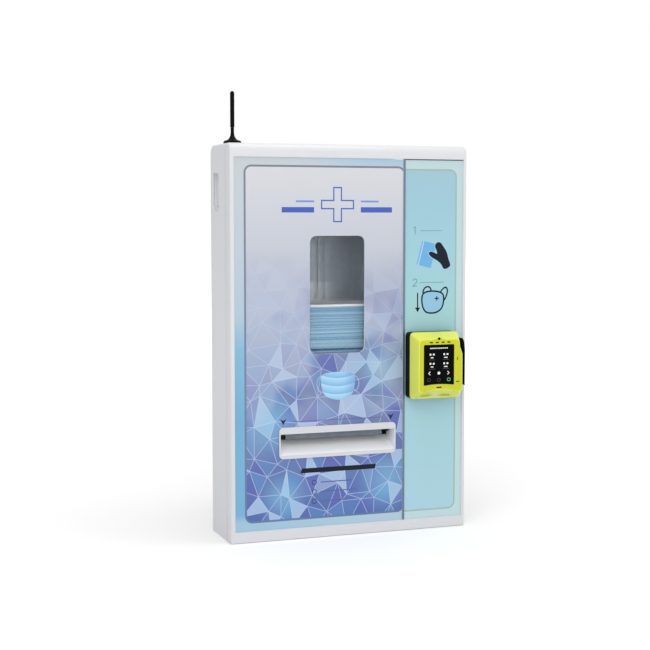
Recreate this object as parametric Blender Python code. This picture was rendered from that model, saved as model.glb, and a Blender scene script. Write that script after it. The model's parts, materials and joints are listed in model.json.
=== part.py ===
"""Face mask vending machine: a slim steel cabinet with a hinged front door.

Metres, +Z up, +X to the right of someone facing the door, +Y towards the wall.
The origin is the centre of the cabinet's flat bottom, on the surface it stands on.
"""
import math

import bmesh
import bpy
from mathutils import Vector

# Cabinet: door in front, wrap in the middle, rear cover behind
CABINET_WIDTH = 0.450
CABINET_HEIGHT = 0.700
CABINET_DEPTH = 0.124
DOOR_DEPTH = 0.0235
REAR_DEPTH = 0.019
SEAM_GAP = 0.0018
SHEET = 0.0015
SIDE_RADIUS = 0.004
DOOR_TOP_RADIUS = 0.013
REAR_TOP_RADIUS = 0.018
BOTTOM_RADIUS = 0.001
DOOR_FLOOR_GAP = 0.001
WRAP_FLANGE = 0.009
WALL_SCREW_RADIUS = 0.00275
WALL_SCREW_INSET_X = 0.070
WALL_SCREW_INSET_Z = 0.060
TOUCH_GAP = 0.0003
OVERRUN = 0.010
AXIS_MARK = 0.020

# Window panels in the door
OPENING_LEFT = 0.008
OPENING_RIGHT = 0.0065
OPENING_TOP = 0.024
OPENING_BOTTOM = 0.020
PANEL_THICKNESS = 0.004
PANEL_SIDE_INSET = 0.0048
PANEL_END_LAP = 0.005
STRIP_WIDTH = 0.123
DIVIDER_WIDTH = 0.004
DIVIDER_WEB = 0.0012
DIVIDER_FACE = 0.0010
DIVIDER_BACK = 0.014
WINDOW_WIDTH = 0.104
WINDOW_HEIGHT = 0.209
WINDOW_BOTTOM = 0.330
WINDOW_RADIUS = 0.012
PANE_LAP = 0.008
PANE_THICKNESS = 0.002

# Outlet insert
OUTLET_TO_DIVIDER = 0.014
OUTLET_WIDTH = 0.222
OUTLET_HEIGHT = 0.056
OUTLET_BOTTOM = 0.1455
OUTLET_RADIUS = 0.0075
OUTLET_RIM = 0.0025
OUTLET_PROUD = 0.0018
OUTLET_CEILING = 0.0155
OUTLET_DEPTH = 0.0390
OUTLET_WALL = 0.0018
OUTLET_BAND = 0.0120
OUTLET_SLOT = 0.0159
OUTLET_SIDE = 0.0040
OUTLET_LIP = 0.0060
OUTLET_LAP = 0.0024

# Door hinges: swan-neck arms on the body, pins, blocks on the door
HINGE_INSET = 0.006
HINGE_FORWARD = 0.013
ARM_THICKNESS = 0.003
ARM_STANDOFF = 0.003
ARM_EYE_START = 50
ARM_EYE_RADIUS = 0.004
ARM_HALF_WIDTH = 0.003
ARM_REACH = 0.018
ARM_TAIL = 0.026
ARM_FOOT_WIDTH = 0.016
ARM_FOOT_LENGTH = 0.020
ARM_FOOT_RADIUS = 0.002
ARM_NOTCH_GAP = 0.0015
PIN_RADIUS = 0.002
PIN_FIT = 0.0001
RUN_FIT = 0.00006
BLOCK_WIDTH = 0.010
BLOCK_DEPTH = 0.009
BLOCK_HEIGHT = 0.012
BLOCK_GAP = 0.0005

# Cam lock and catch
LOCK_Y = -0.014
LOCK_Z = 0.350
LOCK_RADIUS = 0.0090
LOCK_COLLAR_RADIUS = 0.0110
LOCK_COLLAR = 0.0025
LOCK_LENGTH = 0.0220
LOCK_PLUG_RADIUS = 0.0055
CAM_EYE_TURN = 60
CAM_THICKNESS = 0.003
CAM_HALF_WIDTH = 0.004
CAM_LENGTH = 0.024
CATCH_THICKNESS = 0.002
CATCH_HEIGHT = 0.016
CATCH_BASE_DEPTH = 0.017
CATCH_GAP = 0.0005
CATCH_SIDE = 0.005
CATCH_LIFT = 0.003
CATCH_EAR = 0.012
KEYWAY_WIDTH = 0.0012
KEYWAY_HEIGHT = 0.006
KEYWAY_DEPTH = 0.004

# Cable port in the left side
PORT_Y = 0.0235
PORT_WIDTH = 0.033
PORT_HEIGHT = 0.068
PORT_FROM_TOP = 0.050
PORT_RADIUS = 0.004
PORT_CHAMFER = 0.012
PORT_DEPTH = 0.0045
PORT_WALL = 0.0012
PORT_FLANGE = 0.0022
PORT_SLOT_WIDTH = 0.0085
PORT_SLOT_HEIGHT = 0.052
PORT_SLOT_RADIUS = 0.0028
PORT_SCREW_RADIUS = 0.0030
PORT_SCREW_HEIGHT = 0.0014
PORT_SCREW_PITCH = 0.043

# Aerial on the top
AERIAL_INSET = 0.0233
AERIAL_Y = -0.002
AERIAL_FOOT_RADIUS = 0.016
AERIAL_FOOT_HEIGHT = 0.005
AERIAL_FOOT_CHAMFER = 0.00125
AERIAL_CONE_HEIGHT = 0.0135
AERIAL_NECK_RADIUS = 0.0031
AERIAL_NECK_HEIGHT = 0.0100
AERIAL_SLEEVE_RADIUS = 0.0038
AERIAL_SLEEVE_CHAMFER = 0.0003
AERIAL_HEIGHT = 0.092

# Hopper and the packets in it
HOPPER_OFFSET = 0.001
HOPPER_FRONT = -0.044
HOPPER_SHEET = 0.0012
HOPPER_LIP = 0.025
HOPPER_FLANGE = 0.010
HOPPER_TOP = 0.562
FLOOR_TOP = 0.248
FLOOR_FRONT = 0.006
GATE_HEIGHT = 0.0045
FLOOR_FLANGE = 0.008
PACKET_WIDTH = 0.175
PACKET_DEPTH = 0.095
PACKET_SIDE_GAP = 0.0035
PACKET_END_GAP = 0.0015
PACKET_PITCH = 0.0034
PACKET_COUNT = 48
PACKET_EDGE = 0.0009
PACKET_CORNER = 0.006
FOLLOWER_THICKNESS = 0.0020
FOLLOWER_RIM = 0.004
FOLLOWER_STOP = 0.010
FOLLOWER_MARGIN = 0.0015
FOLLOWER_TONGUE = 0.007
FOLLOWER_SLOT_GAP = 0.0006
SLIDER_WIDTH = 0.020
SLIDER_HEIGHT = 0.026
SLIDER_THICKNESS = 0.0022
SLIDER_RADIUS = 0.004

# Feed unit
FEED_Y = 0.008
FEED_ROLLER_RADIUS = 0.013
FEED_ROLLER_WIDTH = 0.024
FEED_ROLLER_SPREAD = 0.090
ROLLER_GROOVES = 4
ROLLER_GROOVE_DEPTH = 0.0008
RIB_EDGE_SHARE = 1 / 6
SHAFT_RADIUS = 0.003
SHAFT_END = 0.0005
CHEEK_THICKNESS = 0.002
CHEEK_BOTTOM = 0.1905
CHEEK_FRONT = -0.0545
CHEEK_LAP = 0.016
CHEEK_STEP = 0.0045
BUSH_RADIUS = 0.005
BUSH_FLANGE_RADIUS = 0.0068
BUSH_FLANGE = 0.0015
EXIT_ROLLER_RADIUS = 0.009
PINCH_RADIUS = 0.005
PINCH_GAP = 0.0005
PINCH_JOURNAL = 0.002
GEAR_MODULE = 0.001
GEAR_WIDTH = 0.005
GEAR_GAP = 0.0015
GEAR_HUB_RADIUS = 0.0050
GEAR_HUB_LENGTH = 0.0030
GEAR_ADDENDUM = 0.00095
GEAR_DEDENDUM = 0.00125
GEAR_BACKLASH = 0.00020
PRESSURE_ANGLE = math.radians(20)
FEED_TEETH = 26
IDLER_TEETH = 24
EXIT_TEETH = 16
PINION_TEETH = 12
TRAIN_ANGLE = math.radians(197)
PINION_ANGLE = math.radians(-45)
GUIDE_SHEET = 0.0010

# Gear motor and chute
MOTOR_BRACKET_X = 0.0125
MOTOR_GEARBOX_RADIUS = 0.0125
MOTOR_GEARBOX_LENGTH = 0.024
MOTOR_CAN_RADIUS = 0.0120
MOTOR_CAN_LENGTH = 0.032
MOTOR_BOSS_RADIUS = 0.0040
MOTOR_SHAFT_DEPTH = 0.006
CHUTE_DROP = 0.011
CHUTE_SETBACK = 0.0025
CHUTE_RUN = 0.007

# Control board and power supply
BOARD_GAP = 0.0118
BOARD_BOTTOM = 0.410
BOARD_WIDTH = 0.105
BOARD_HEIGHT = 0.120
BOARD_THICKNESS = 0.0016
BOARD_STANDOFF = 0.006
BOARD_STANDOFF_RADIUS = 0.003
SUPPLY_INSET = 0.0355
SUPPLY_BOTTOM = 0.060
SUPPLY_WIDTH = 0.098
SUPPLY_HEIGHT = 0.129
SUPPLY_DEPTH = 0.030
SUPPLY_LEDGE_SHARE = 0.13
SUPPLY_LEDGE_DEPTH_SHARE = 0.26
BOARD_PART_SHARES = (
    (0.08, 0.70, 0.22, 0.18, 0.15),
    (0.40, 0.74, 0.22, 0.14, 0.12),
    (0.72, 0.60, 0.18, 0.30, 0.10),
    (0.12, 0.12, 0.50, 0.09, 0.09),
    (0.20, 0.38, 0.30, 0.20, 0.03),
    (0.62, 0.30, 0.12, 0.12, 0.14),
)

# Card reader
READER_INSET = 0.070
READER_Z = 0.3045
READER_WIDTH = 0.100
READER_HEIGHT = 0.121
READER_CORNER = 0.007
READER_BASE_DEPTH = 0.020
READER_DEPTH = 0.046
READER_NECK_WIDTH = 0.066
READER_NECK_HEIGHT = 0.090
READER_NECK_BACK = 0.022
READER_BULGE = 0.0055
READER_SIDE_TAPER = 0.0065
READER_TOP_TAPER = 0.0110
READER_BOTTOM_TAPER = 0.0130
READER_ARCH = 0.0055
READER_BUMP = 0.0045
READER_EDGE = 0.0018
READER_EDGE_DEPTH_SHARE = 0.25
READER_EDGE_INSET_SHARE = 1 / 3
READER_HOUSING_STEP = 0.0004
READER_DRAW_LOW = 0.324
READER_DRAW_HIGH = 0.342
READER_PEAK_WIDTH = 0.008
SCREEN_OFFSET = 0.0035
SCREEN_WIDTH = 0.060
SCREEN_BOTTOM = 0.2705
SCREEN_HEIGHT = 0.0735
SCREEN_RADIUS = 0.0020
SCREEN_ARCH = 0.0020
SCREEN_RECESS = 0.0008
SCREEN_THICKNESS = 0.0022
LENS_Z = 0.3545
LENS_RADIUS = 0.00225
LENS_DEPTH = 0.0030
MOUTH_WIDTH = 0.058
MOUTH_HEIGHT = 0.0055
MOUTH_DEPTH = 0.022
MOUTH_WALL = 0.0015
MOUTH_ARCH_SHARE = 0.55
SWIPE_TOP = 0.354
SWIPE_BOTTOM = 0.268
SWIPE_CROWN = 0.024
SWIPE_PROUD = 0.0011
SWIPE_DEPTH = 0.019

# Numbers of facets
ARC_STEPS = 5
SIDE_STEPS = 3
ROUND_STEPS = 20
FINE_STEPS = 16
READER_STEPS = 12
PEG_STEPS = 8

# Places worked out from the sizes above
HALF_WIDTH = CABINET_WIDTH / 2
FRONT_Y = -CABINET_DEPTH / 2
REAR_Y = CABINET_DEPTH / 2
DOOR_RIM_Y = FRONT_Y + DOOR_DEPTH
WRAP_FRONT_Y = DOOR_RIM_Y + SEAM_GAP
REAR_RIM_Y = REAR_Y - REAR_DEPTH
WRAP_BACK_Y = REAR_RIM_Y - TOUCH_GAP
INNER_X = HALF_WIDTH - SHEET
PANEL_FRONT_Y = FRONT_Y + SHEET + TOUCH_GAP
PANEL_BACK_Y = PANEL_FRONT_Y + PANEL_THICKNESS
OPENING_X0 = -HALF_WIDTH + OPENING_LEFT
OPENING_X1 = HALF_WIDTH - OPENING_RIGHT
OPENING_Z0 = OPENING_BOTTOM
OPENING_Z1 = CABINET_HEIGHT - OPENING_TOP
HINGE_X = -HALF_WIDTH + HINGE_INSET
HINGE_Y = DOOR_RIM_Y - HINGE_FORWARD
HINGE = Vector((HINGE_X, HINGE_Y, 0))
PORT_BOTTOM = CABINET_HEIGHT - PORT_FROM_TOP - PORT_HEIGHT
DIVIDER_X = HALF_WIDTH - STRIP_WIDTH
OUTLET_X = DIVIDER_X - DIVIDER_WIDTH / 2 - OUTLET_TO_DIVIDER - OUTLET_WIDTH / 2
HOPPER_X = OUTLET_X - HOPPER_OFFSET
WINDOW_X = HOPPER_X
READER_X = HALF_WIDTH - READER_INSET
SCREEN_X = READER_X - SCREEN_OFFSET
AERIAL_X = -HALF_WIDTH + AERIAL_INSET
LOCK = Vector((HALF_WIDTH - LOCK_LENGTH, LOCK_Y, LOCK_Z))
STACK_BOTTOM = FLOOR_TOP + TOUCH_GAP + TOUCH_GAP
STACK_TOP = STACK_BOTTOM + PACKET_COUNT * PACKET_PITCH
HOPPER_WIDTH = PACKET_WIDTH + 2 * PACKET_SIDE_GAP
HOPPER_BACK = HOPPER_FRONT + PACKET_DEPTH + 2 * PACKET_END_GAP
HOPPER_X0 = HOPPER_X - HOPPER_WIDTH / 2
HOPPER_X1 = HOPPER_X + HOPPER_WIDTH / 2
BOARD_LEFT = HOPPER_X1 + HOPPER_SHEET + HOPPER_FLANGE + BOARD_GAP
SUPPLY_LEFT = INNER_X - SUPPLY_INSET - SUPPLY_WIDTH
OUTLET_FRONT_Y = PANEL_FRONT_Y - TOUCH_GAP - OUTLET_PROUD
OUTLET_BACK_Y = OUTLET_FRONT_Y + OUTLET_DEPTH
OUTLET_BAND_Z = OUTLET_BOTTOM + OUTLET_HEIGHT - OUTLET_BAND
OUTLET_SILL_Z = OUTLET_BAND_Z - OUTLET_SLOT
OUTLET_LIP_Z = OUTLET_BOTTOM + OUTLET_LIP
OUTLET_SLOPE = (OUTLET_SILL_Z - OUTLET_LIP_Z) / (OUTLET_BACK_Y - PANEL_FRONT_Y)
CHEEK_X0 = HOPPER_X0 - HOPPER_SHEET - TOUCH_GAP
CHEEK_X1 = HOPPER_X1 + HOPPER_SHEET + TOUCH_GAP
GEAR_X0 = CHEEK_X1 + CHEEK_THICKNESS + BUSH_FLANGE + GEAR_GAP
GEAR_X1 = GEAR_X0 + GEAR_WIDTH
FEED_Z = FLOOR_TOP + TOUCH_GAP - FEED_ROLLER_RADIUS


def pitch_radius(teeth):
    return teeth * GEAR_MODULE / 2


def step_along(start, distance, angle):
    """A point in the YZ plane, the angle measured from +Y towards +Z."""
    return (start[0] + distance * math.cos(angle), start[1] + distance * math.sin(angle))


FEED = (FEED_Y, FEED_Z)
IDLER = step_along(FEED, pitch_radius(FEED_TEETH) + pitch_radius(IDLER_TEETH), TRAIN_ANGLE)
EXIT = step_along(IDLER, pitch_radius(IDLER_TEETH) + pitch_radius(EXIT_TEETH), TRAIN_ANGLE)
PINION = step_along(FEED, pitch_radius(FEED_TEETH) + pitch_radius(PINION_TEETH), PINION_ANGLE)
PINCH = (EXIT[0] - EXIT_ROLLER_RADIUS - PINCH_GAP - PINCH_RADIUS, EXIT[1])


def clear_scene():
    for item in list(bpy.data.objects):
        bpy.data.objects.remove(item, do_unlink=True)


def material(name, colour, roughness, metallic=0.0, alpha=1.0):
    """A plain Principled finish; the colour is linear red, green and blue."""
    finish = bpy.data.materials.new(name)
    finish.use_nodes = True
    shader = finish.node_tree.nodes["Principled BSDF"]
    shader.inputs["Base Color"].default_value = (*colour, 1.0)
    shader.inputs["Roughness"].default_value = roughness
    shader.inputs["Metallic"].default_value = metallic
    shader.inputs["Alpha"].default_value = alpha
    return finish


def add(name, shape, finish, origin=(0, 0, 0), parent=None, smooth=30):
    """Make an object from a bmesh in world places, with its own origin at origin."""
    origin = Vector(origin)
    bmesh.ops.recalc_face_normals(shape, faces=shape.faces)
    bmesh.ops.translate(shape, verts=shape.verts, vec=-origin)
    mesh = bpy.data.meshes.new(name)
    shape.to_mesh(mesh)
    shape.free()
    mesh.materials.append(finish)
    mesh.shade_smooth()
    mesh.set_sharp_from_angle(angle=math.radians(smooth))
    item = bpy.data.objects.new(name, mesh)
    bpy.context.collection.objects.link(item)
    if parent:
        item.parent = parent
        origin = origin - parent.location
    item.location = origin
    return item


def axis_empty(name, place):
    """An empty on a joint's axis, which carries the pieces that turn or slide."""
    item = bpy.data.objects.new(name, None)
    item.location = place
    item.empty_display_size = AXIS_MARK
    bpy.context.collection.objects.link(item)
    return item


def boolean(item, shape, operation):
    """Cut or join a shape given as a bmesh in world places, with a hidden guide."""
    guide = add(item.name + "_guide_" + str(len(item.modifiers)), shape, item.data.materials[0])
    guide.hide_render = True
    guide.display_type = 'WIRE'
    change = item.modifiers.new(operation.lower(), 'BOOLEAN')
    change.operation = operation
    change.solver = 'EXACT'
    change.object = guide


def cut(item, *shapes):
    for shape in shapes:
        boolean(item, shape, 'DIFFERENCE')


def join(item, *shapes):
    for shape in shapes:
        boolean(item, shape, 'UNION')


def block(x0, x1, y0, y1, z0, z1):
    shape = bmesh.new()
    bmesh.ops.create_cube(shape, size=1)
    bmesh.ops.scale(shape, vec=(x1 - x0, y1 - y0, z1 - z0), verts=shape.verts)
    bmesh.ops.translate(shape, vec=((x0 + x1) / 2, (y0 + y1) / 2, (z0 + z1) / 2), verts=shape.verts)
    return shape


def on_plane(axis, point, along):
    """A flat outline's point in space: (y, z) for X, (x, z) for Y, (x, y) for Z."""
    if axis == 'X':
        return Vector((along, point[0], point[1]))
    if axis == 'Y':
        return Vector((point[0], along, point[1]))
    return Vector((point[0], point[1], along))


def prism(axis, outline, start, end):
    """A closed outline extruded from start to end along an axis."""
    shape = bmesh.new()
    corners = [shape.verts.new(on_plane(axis, point, start)) for point in outline]
    face = shape.faces.new(corners)
    moved = bmesh.ops.extrude_face_region(shape, geom=[face])
    tops = [part for part in moved["geom"] if isinstance(part, bmesh.types.BMVert)]
    bmesh.ops.translate(shape, verts=tops, vec=on_plane(axis, (0, 0), end - start))
    bmesh.ops.recalc_face_normals(shape, faces=shape.faces)
    return shape


def loft(rings):
    """A closed body through rings of equal count, each bridged to the next and the ends filled."""
    shape = bmesh.new()
    loops = []
    for ring in rings:
        corners = [shape.verts.new(point) for point in ring]
        edges = [shape.edges.new((corners[index - 1], corner)) for index, corner in enumerate(corners)]
        loops.append((corners, edges))
    for near, far in zip(loops, loops[1:]):
        bmesh.ops.bridge_loops(shape, edges=near[1] + far[1])
    shape.faces.new(loops[0][0])
    shape.faces.new(loops[-1][0])
    bmesh.ops.recalc_face_normals(shape, faces=shape.faces)
    return shape


def turned(profile, centre, axis='X', steps=ROUND_STEPS):
    """A profile of (radius, along) spun round an axis through centre; a closed loop makes a ring."""
    centre = Vector(centre)
    along = {'X': Vector((1, 0, 0)), 'Y': Vector((0, 1, 0)), 'Z': Vector((0, 0, 1))}[axis]
    out = Vector((0, 0, 1)) if axis != 'Z' else Vector((1, 0, 0))
    shape = bmesh.new()
    chain = [shape.verts.new(centre + out * radius + along * place) for radius, place in profile]
    edges = [shape.edges.new(pair) for pair in zip(chain, chain[1:])]
    if profile[0][0] > 0:
        edges.append(shape.edges.new((chain[-1], chain[0])))
    bmesh.ops.spin(shape, geom=chain + edges, cent=centre, axis=along, angle=math.tau,
                   steps=steps, use_merge=True, use_duplicate=False)
    bmesh.ops.remove_doubles(shape, verts=shape.verts, dist=TOUCH_GAP / 100)
    bmesh.ops.recalc_face_normals(shape, faces=shape.faces)
    return shape


def rod(radius, start, end, centre, axis='X', steps=ROUND_STEPS):
    return turned([(0, start), (radius, start), (radius, end), (0, end)], centre, axis, steps)


def arc(centre, radius, first, last, steps=ARC_STEPS):
    """Points on an arc, its angles in degrees."""
    turns = [math.radians(first + (last - first) * step / steps) for step in range(steps + 1)]
    return [(centre[0] + radius * math.cos(turn), centre[1] + radius * math.sin(turn)) for turn in turns]


def rounded(x0, x1, z0, z1, radius, steps=ARC_STEPS):
    """A rectangle's outline with round corners, counter-clockwise from the lower right."""
    return (arc((x1 - radius, z0 + radius), radius, -90, 0, steps)
            + arc((x1 - radius, z1 - radius), radius, 0, 90, steps)
            + arc((x0 + radius, z1 - radius), radius, 90, 180, steps)
            + arc((x0 + radius, z0 + radius), radius, 180, 270, steps))


def bore_radius(radius, fit, steps):
    """The corner radius of a faceted bore whose flats clear a round of the given radius."""
    return (radius + fit) / math.cos(math.pi / steps)


def pan(name, face_y, rim_y, low_z, top_radius, finish, parent=None):
    """A pressed sheet pan: a face, returns on all four sides and a rolled top edge."""
    front = min(face_y, rim_y)
    back = max(face_y, rim_y)
    shape = block(-HALF_WIDTH, HALF_WIDTH, front, back, low_z, CABINET_HEIGHT)

    def near(value, target):
        return abs(value - target) < TOUCH_GAP

    open_side = [face for face in shape.faces if all(near(vert.co.y, rim_y) for vert in face.verts)]
    bmesh.ops.delete(shape, geom=open_side, context='FACES_ONLY')

    def edges_where(test):
        return [edge for edge in shape.edges if all(test(vert.co) for vert in edge.verts)]

    bmesh.ops.bevel(shape, geom=edges_where(lambda p: near(p.y, face_y) and near(p.z, CABINET_HEIGHT)),
                    offset=top_radius, segments=ARC_STEPS, profile=0.5, affect='EDGES')
    for side in (-HALF_WIDTH, HALF_WIDTH):
        chain = [edge for edge in edges_where(lambda p: near(p.x, side))
                 if not all(near(vert.co.y, rim_y) for vert in edge.verts)
                 and not all(near(vert.co.z, low_z) for vert in edge.verts)]
        bmesh.ops.bevel(shape, geom=chain, offset=SIDE_RADIUS, segments=SIDE_STEPS, profile=0.5,
                        affect='EDGES')
    bmesh.ops.bevel(shape, geom=edges_where(lambda p: near(p.y, face_y) and near(p.z, low_z)),
                    offset=BOTTOM_RADIUS, segments=SIDE_STEPS, profile=0.5, affect='EDGES')
    item = add(name, shape, finish, origin=(0, face_y, 0) if parent is None else HINGE, parent=parent)
    wall = item.modifiers.new("sheet", 'SOLIDIFY')
    wall.thickness = SHEET
    wall.offset = -1
    wall.use_even_offset = True
    return item


def door_frame(door, white):
    item = pan("door_frame", FRONT_Y, DOOR_RIM_Y, DOOR_FLOOR_GAP, DOOR_TOP_RADIUS, white, door)
    cut(item, block(OPENING_X0, OPENING_X1, FRONT_Y - OVERRUN, FRONT_Y + SHEET + TOUCH_GAP / 2,
                    OPENING_Z0, OPENING_Z1))


def rear_cover(white):
    item = pan("rear_cover", REAR_Y, REAR_RIM_Y, 0, REAR_TOP_RADIUS, white)
    for x in (-HALF_WIDTH + WALL_SCREW_INSET_X, HALF_WIDTH - WALL_SCREW_INSET_X):
        for z in (WALL_SCREW_INSET_Z, CABINET_HEIGHT - WALL_SCREW_INSET_Z):
            cut(item, rod(WALL_SCREW_RADIUS, -SHEET - OVERRUN, OVERRUN, (x, REAR_Y, z), 'Y', FINE_STEPS))


def section(inset, radius):
    """The wrap's outline from the front: round top corners, square bottom ones."""
    side = HALF_WIDTH - inset
    top = CABINET_HEIGHT - inset
    return ([(-side, inset), (side, inset)] + arc((side - radius, top - radius), radius, 0, 90, SIDE_STEPS)
            + arc((radius - side, top - radius), radius, 90, 180, SIDE_STEPS))


def port_outline(grow):
    """The side port: a tall rectangle with round corners and one chamfered lower corner."""
    y0 = PORT_Y - PORT_WIDTH / 2 - grow
    y1 = PORT_Y + PORT_WIDTH / 2 + grow
    z0 = PORT_BOTTOM - grow
    z1 = PORT_BOTTOM + PORT_HEIGHT + grow
    return (arc((y1 - PORT_RADIUS, z1 - PORT_RADIUS), PORT_RADIUS, 0, 90, SIDE_STEPS)
            + arc((y0 + PORT_RADIUS, z1 - PORT_RADIUS), PORT_RADIUS, 90, 180, SIDE_STEPS)
            + arc((y0 + PORT_RADIUS, z0 + PORT_RADIUS), PORT_RADIUS, 180, 270, SIDE_STEPS)
            + [(y1 - PORT_CHAMFER, z0), (y1, z0 + PORT_CHAMFER)])


def body_wrap(white):
    """Sides, top and bottom bent from one sheet, with a flange round the front edge."""
    item = add("body_wrap", prism('Y', section(0, SIDE_RADIUS), WRAP_FRONT_Y, WRAP_BACK_Y), white,
               origin=(0, WRAP_FRONT_Y, 0))
    inner_radius = SIDE_RADIUS - SHEET
    cut(item,
        prism('Y', section(SHEET, inner_radius), WRAP_FRONT_Y + SHEET, WRAP_BACK_Y + OVERRUN),
        prism('Y', rounded(-INNER_X + WRAP_FLANGE, INNER_X - WRAP_FLANGE, SHEET + WRAP_FLANGE,
                           CABINET_HEIGHT - SHEET - WRAP_FLANGE, WRAP_FLANGE, SIDE_STEPS),
              WRAP_FRONT_Y - OVERRUN, WRAP_FRONT_Y + SHEET + OVERRUN),
        prism('X', port_outline(0), -HALF_WIDTH - OVERRUN, -INNER_X + OVERRUN),
        rod(bore_radius(LOCK_RADIUS, TOUCH_GAP, ROUND_STEPS), -SHEET - OVERRUN, OVERRUN,
            (HALF_WIDTH, LOCK_Y, LOCK_Z)))
    x0 = HINGE_X + ARM_REACH - ARM_HALF_WIDTH - ARM_NOTCH_GAP
    x1 = HINGE_X + ARM_REACH + ARM_HALF_WIDTH + ARM_NOTCH_GAP
    for low in (SHEET + TOUCH_GAP, CABINET_HEIGHT - SHEET - WRAP_FLANGE - OVERRUN):
        cut(item, block(x0, x1, WRAP_FRONT_Y - OVERRUN, WRAP_FRONT_Y + SHEET + TOUCH_GAP,
                        low, low + WRAP_FLANGE + OVERRUN - TOUCH_GAP))


def cable_port_cover(white):
    """A dished cover behind the port, with a slot at its front edge and two screw heads."""
    outside = -HALF_WIDTH + SHEET + TOUCH_GAP
    floor = outside + PORT_DEPTH
    item = add("cable_port_cover", prism('X', port_outline(PORT_FLANGE), outside, outside + PORT_WALL), white,
               origin=(outside, PORT_Y, PORT_BOTTOM + PORT_HEIGHT / 2))
    join(item, prism('X', port_outline(0), outside + PORT_WALL / 2, floor + PORT_WALL))
    cut(item, prism('X', port_outline(-PORT_WALL), outside - OVERRUN, floor))
    slot_y = PORT_Y - PORT_WIDTH / 2 + PORT_WALL + PORT_SLOT_WIDTH / 2
    middle = PORT_BOTTOM + PORT_HEIGHT / 2
    cut(item, prism('X', rounded(slot_y - PORT_SLOT_WIDTH / 2, slot_y + PORT_SLOT_WIDTH / 2,
                                 middle - PORT_SLOT_HEIGHT / 2, middle + PORT_SLOT_HEIGHT / 2,
                                 PORT_SLOT_RADIUS, SIDE_STEPS), outside - OVERRUN, floor + OVERRUN))
    screw_y = PORT_Y + PORT_WIDTH / 2 - PORT_WALL - PORT_SLOT_WIDTH
    for side in (-1, 1):
        join(item, rod(PORT_SCREW_RADIUS, -PORT_SCREW_HEIGHT, PORT_WALL / 2,
                       (floor, screw_y, middle + side * PORT_SCREW_PITCH / 2), 'X', FINE_STEPS))


def hinge_arm(name, direction, steel):
    """A swan-neck arm: from the pin away from the door's edge, then back to a foot in the body."""
    plate = 0 if direction > 0 else CABINET_HEIGHT
    near = plate + direction * (SHEET + ARM_STANDOFF)
    far = near + direction * ARM_THICKNESS
    low, high = sorted((near, far))
    out = HINGE_X + ARM_REACH
    back = WRAP_FRONT_Y + ARM_TAIL
    outline = (arc((HINGE_X, HINGE_Y), ARM_EYE_RADIUS, ARM_EYE_START, 360 - ARM_EYE_START, 2 * ARC_STEPS)
               + arc((out - ARM_HALF_WIDTH, HINGE_Y + ARM_HALF_WIDTH), 2 * ARM_HALF_WIDTH, -90, 0)
               + [(out + ARM_HALF_WIDTH, back), (out - ARM_HALF_WIDTH, back),
                  (out - ARM_HALF_WIDTH, HINGE_Y + ARM_HALF_WIDTH)])
    item = add(name, prism('Z', outline, low, high), steel, origin=(HINGE_X, HINGE_Y, low))
    pad_low, pad_high = sorted((plate + direction * (SHEET + TOUCH_GAP), far))
    foot_y = back - ARM_FOOT_LENGTH
    join(item, prism('Z', rounded(out - ARM_HALF_WIDTH, out - ARM_HALF_WIDTH + ARM_FOOT_WIDTH,
                                  foot_y, back + TOUCH_GAP, ARM_FOOT_RADIUS, SIDE_STEPS),
                     pad_low, pad_high))
    cut(item, rod(bore_radius(PIN_RADIUS, PIN_FIT, ROUND_STEPS), -OVERRUN, OVERRUN,
                  (HINGE_X, HINGE_Y, low), 'Z'))
    return low, high


def hinges(door, steel):
    """Arms and pins stay with the body; the blocks that swing on the pins are the door's."""
    for name, direction in (("lower", 1), ("upper", -1)):
        low, high = hinge_arm("hinge_arm_" + name, direction, steel)
        arm_far, arm_near = (low, high) if direction > 0 else (high, low)
        block_near = arm_near + direction * BLOCK_GAP
        block_far = block_near + direction * BLOCK_HEIGHT
        pin_low, pin_high = sorted((arm_far, block_far - direction * TOUCH_GAP))
        add("hinge_pin_" + name, rod(PIN_RADIUS, pin_low, pin_high, (HINGE_X, HINGE_Y, 0), 'Z'), steel,
            origin=(HINGE_X, HINGE_Y, low))
        z0, z1 = sorted((block_near, block_far))
        left = -INNER_X + TOUCH_GAP
        pivot = add("door_pivot_" + name, block(left, left + BLOCK_WIDTH, HINGE_Y - BLOCK_DEPTH / 2,
                                                 HINGE_Y + BLOCK_DEPTH / 2, z0, z1),
                    steel, origin=(HINGE_X, HINGE_Y, 0), parent=door)
        cut(pivot, rod(bore_radius(PIN_RADIUS, RUN_FIT, ROUND_STEPS), z0 - OVERRUN, z1 + OVERRUN,
                       (HINGE_X, HINGE_Y, 0), 'Z'))


def main_panel(door, board, clear):
    x0 = -HALF_WIDTH + PANEL_SIDE_INSET
    x1 = DIVIDER_X - DIVIDER_WEB / 2 - TOUCH_GAP
    item = add("main_panel", block(x0, x1, PANEL_FRONT_Y, PANEL_BACK_Y, OPENING_Z0 - PANEL_END_LAP,
                                   OPENING_Z1 + PANEL_END_LAP), board, origin=HINGE, parent=door)
    window = (WINDOW_X - WINDOW_WIDTH / 2, WINDOW_X + WINDOW_WIDTH / 2,
              WINDOW_BOTTOM, WINDOW_BOTTOM + WINDOW_HEIGHT)
    cut(item,
        prism('Y', rounded(*window, WINDOW_RADIUS), PANEL_FRONT_Y - OVERRUN, PANEL_BACK_Y + OVERRUN),
        prism('Y', outlet_outline(OUTLET_LAP / 2 - TOUCH_GAP), PANEL_FRONT_Y - OVERRUN,
              PANEL_BACK_Y + OVERRUN))
    near = PANEL_BACK_Y + TOUCH_GAP
    add("window_pane", prism('Y', rounded(window[0] - PANE_LAP, window[1] + PANE_LAP, window[2] - PANE_LAP,
                                          window[3] + PANE_LAP, WINDOW_RADIUS), near, near + PANE_THICKNESS),
        clear, origin=HINGE, parent=door)


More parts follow.
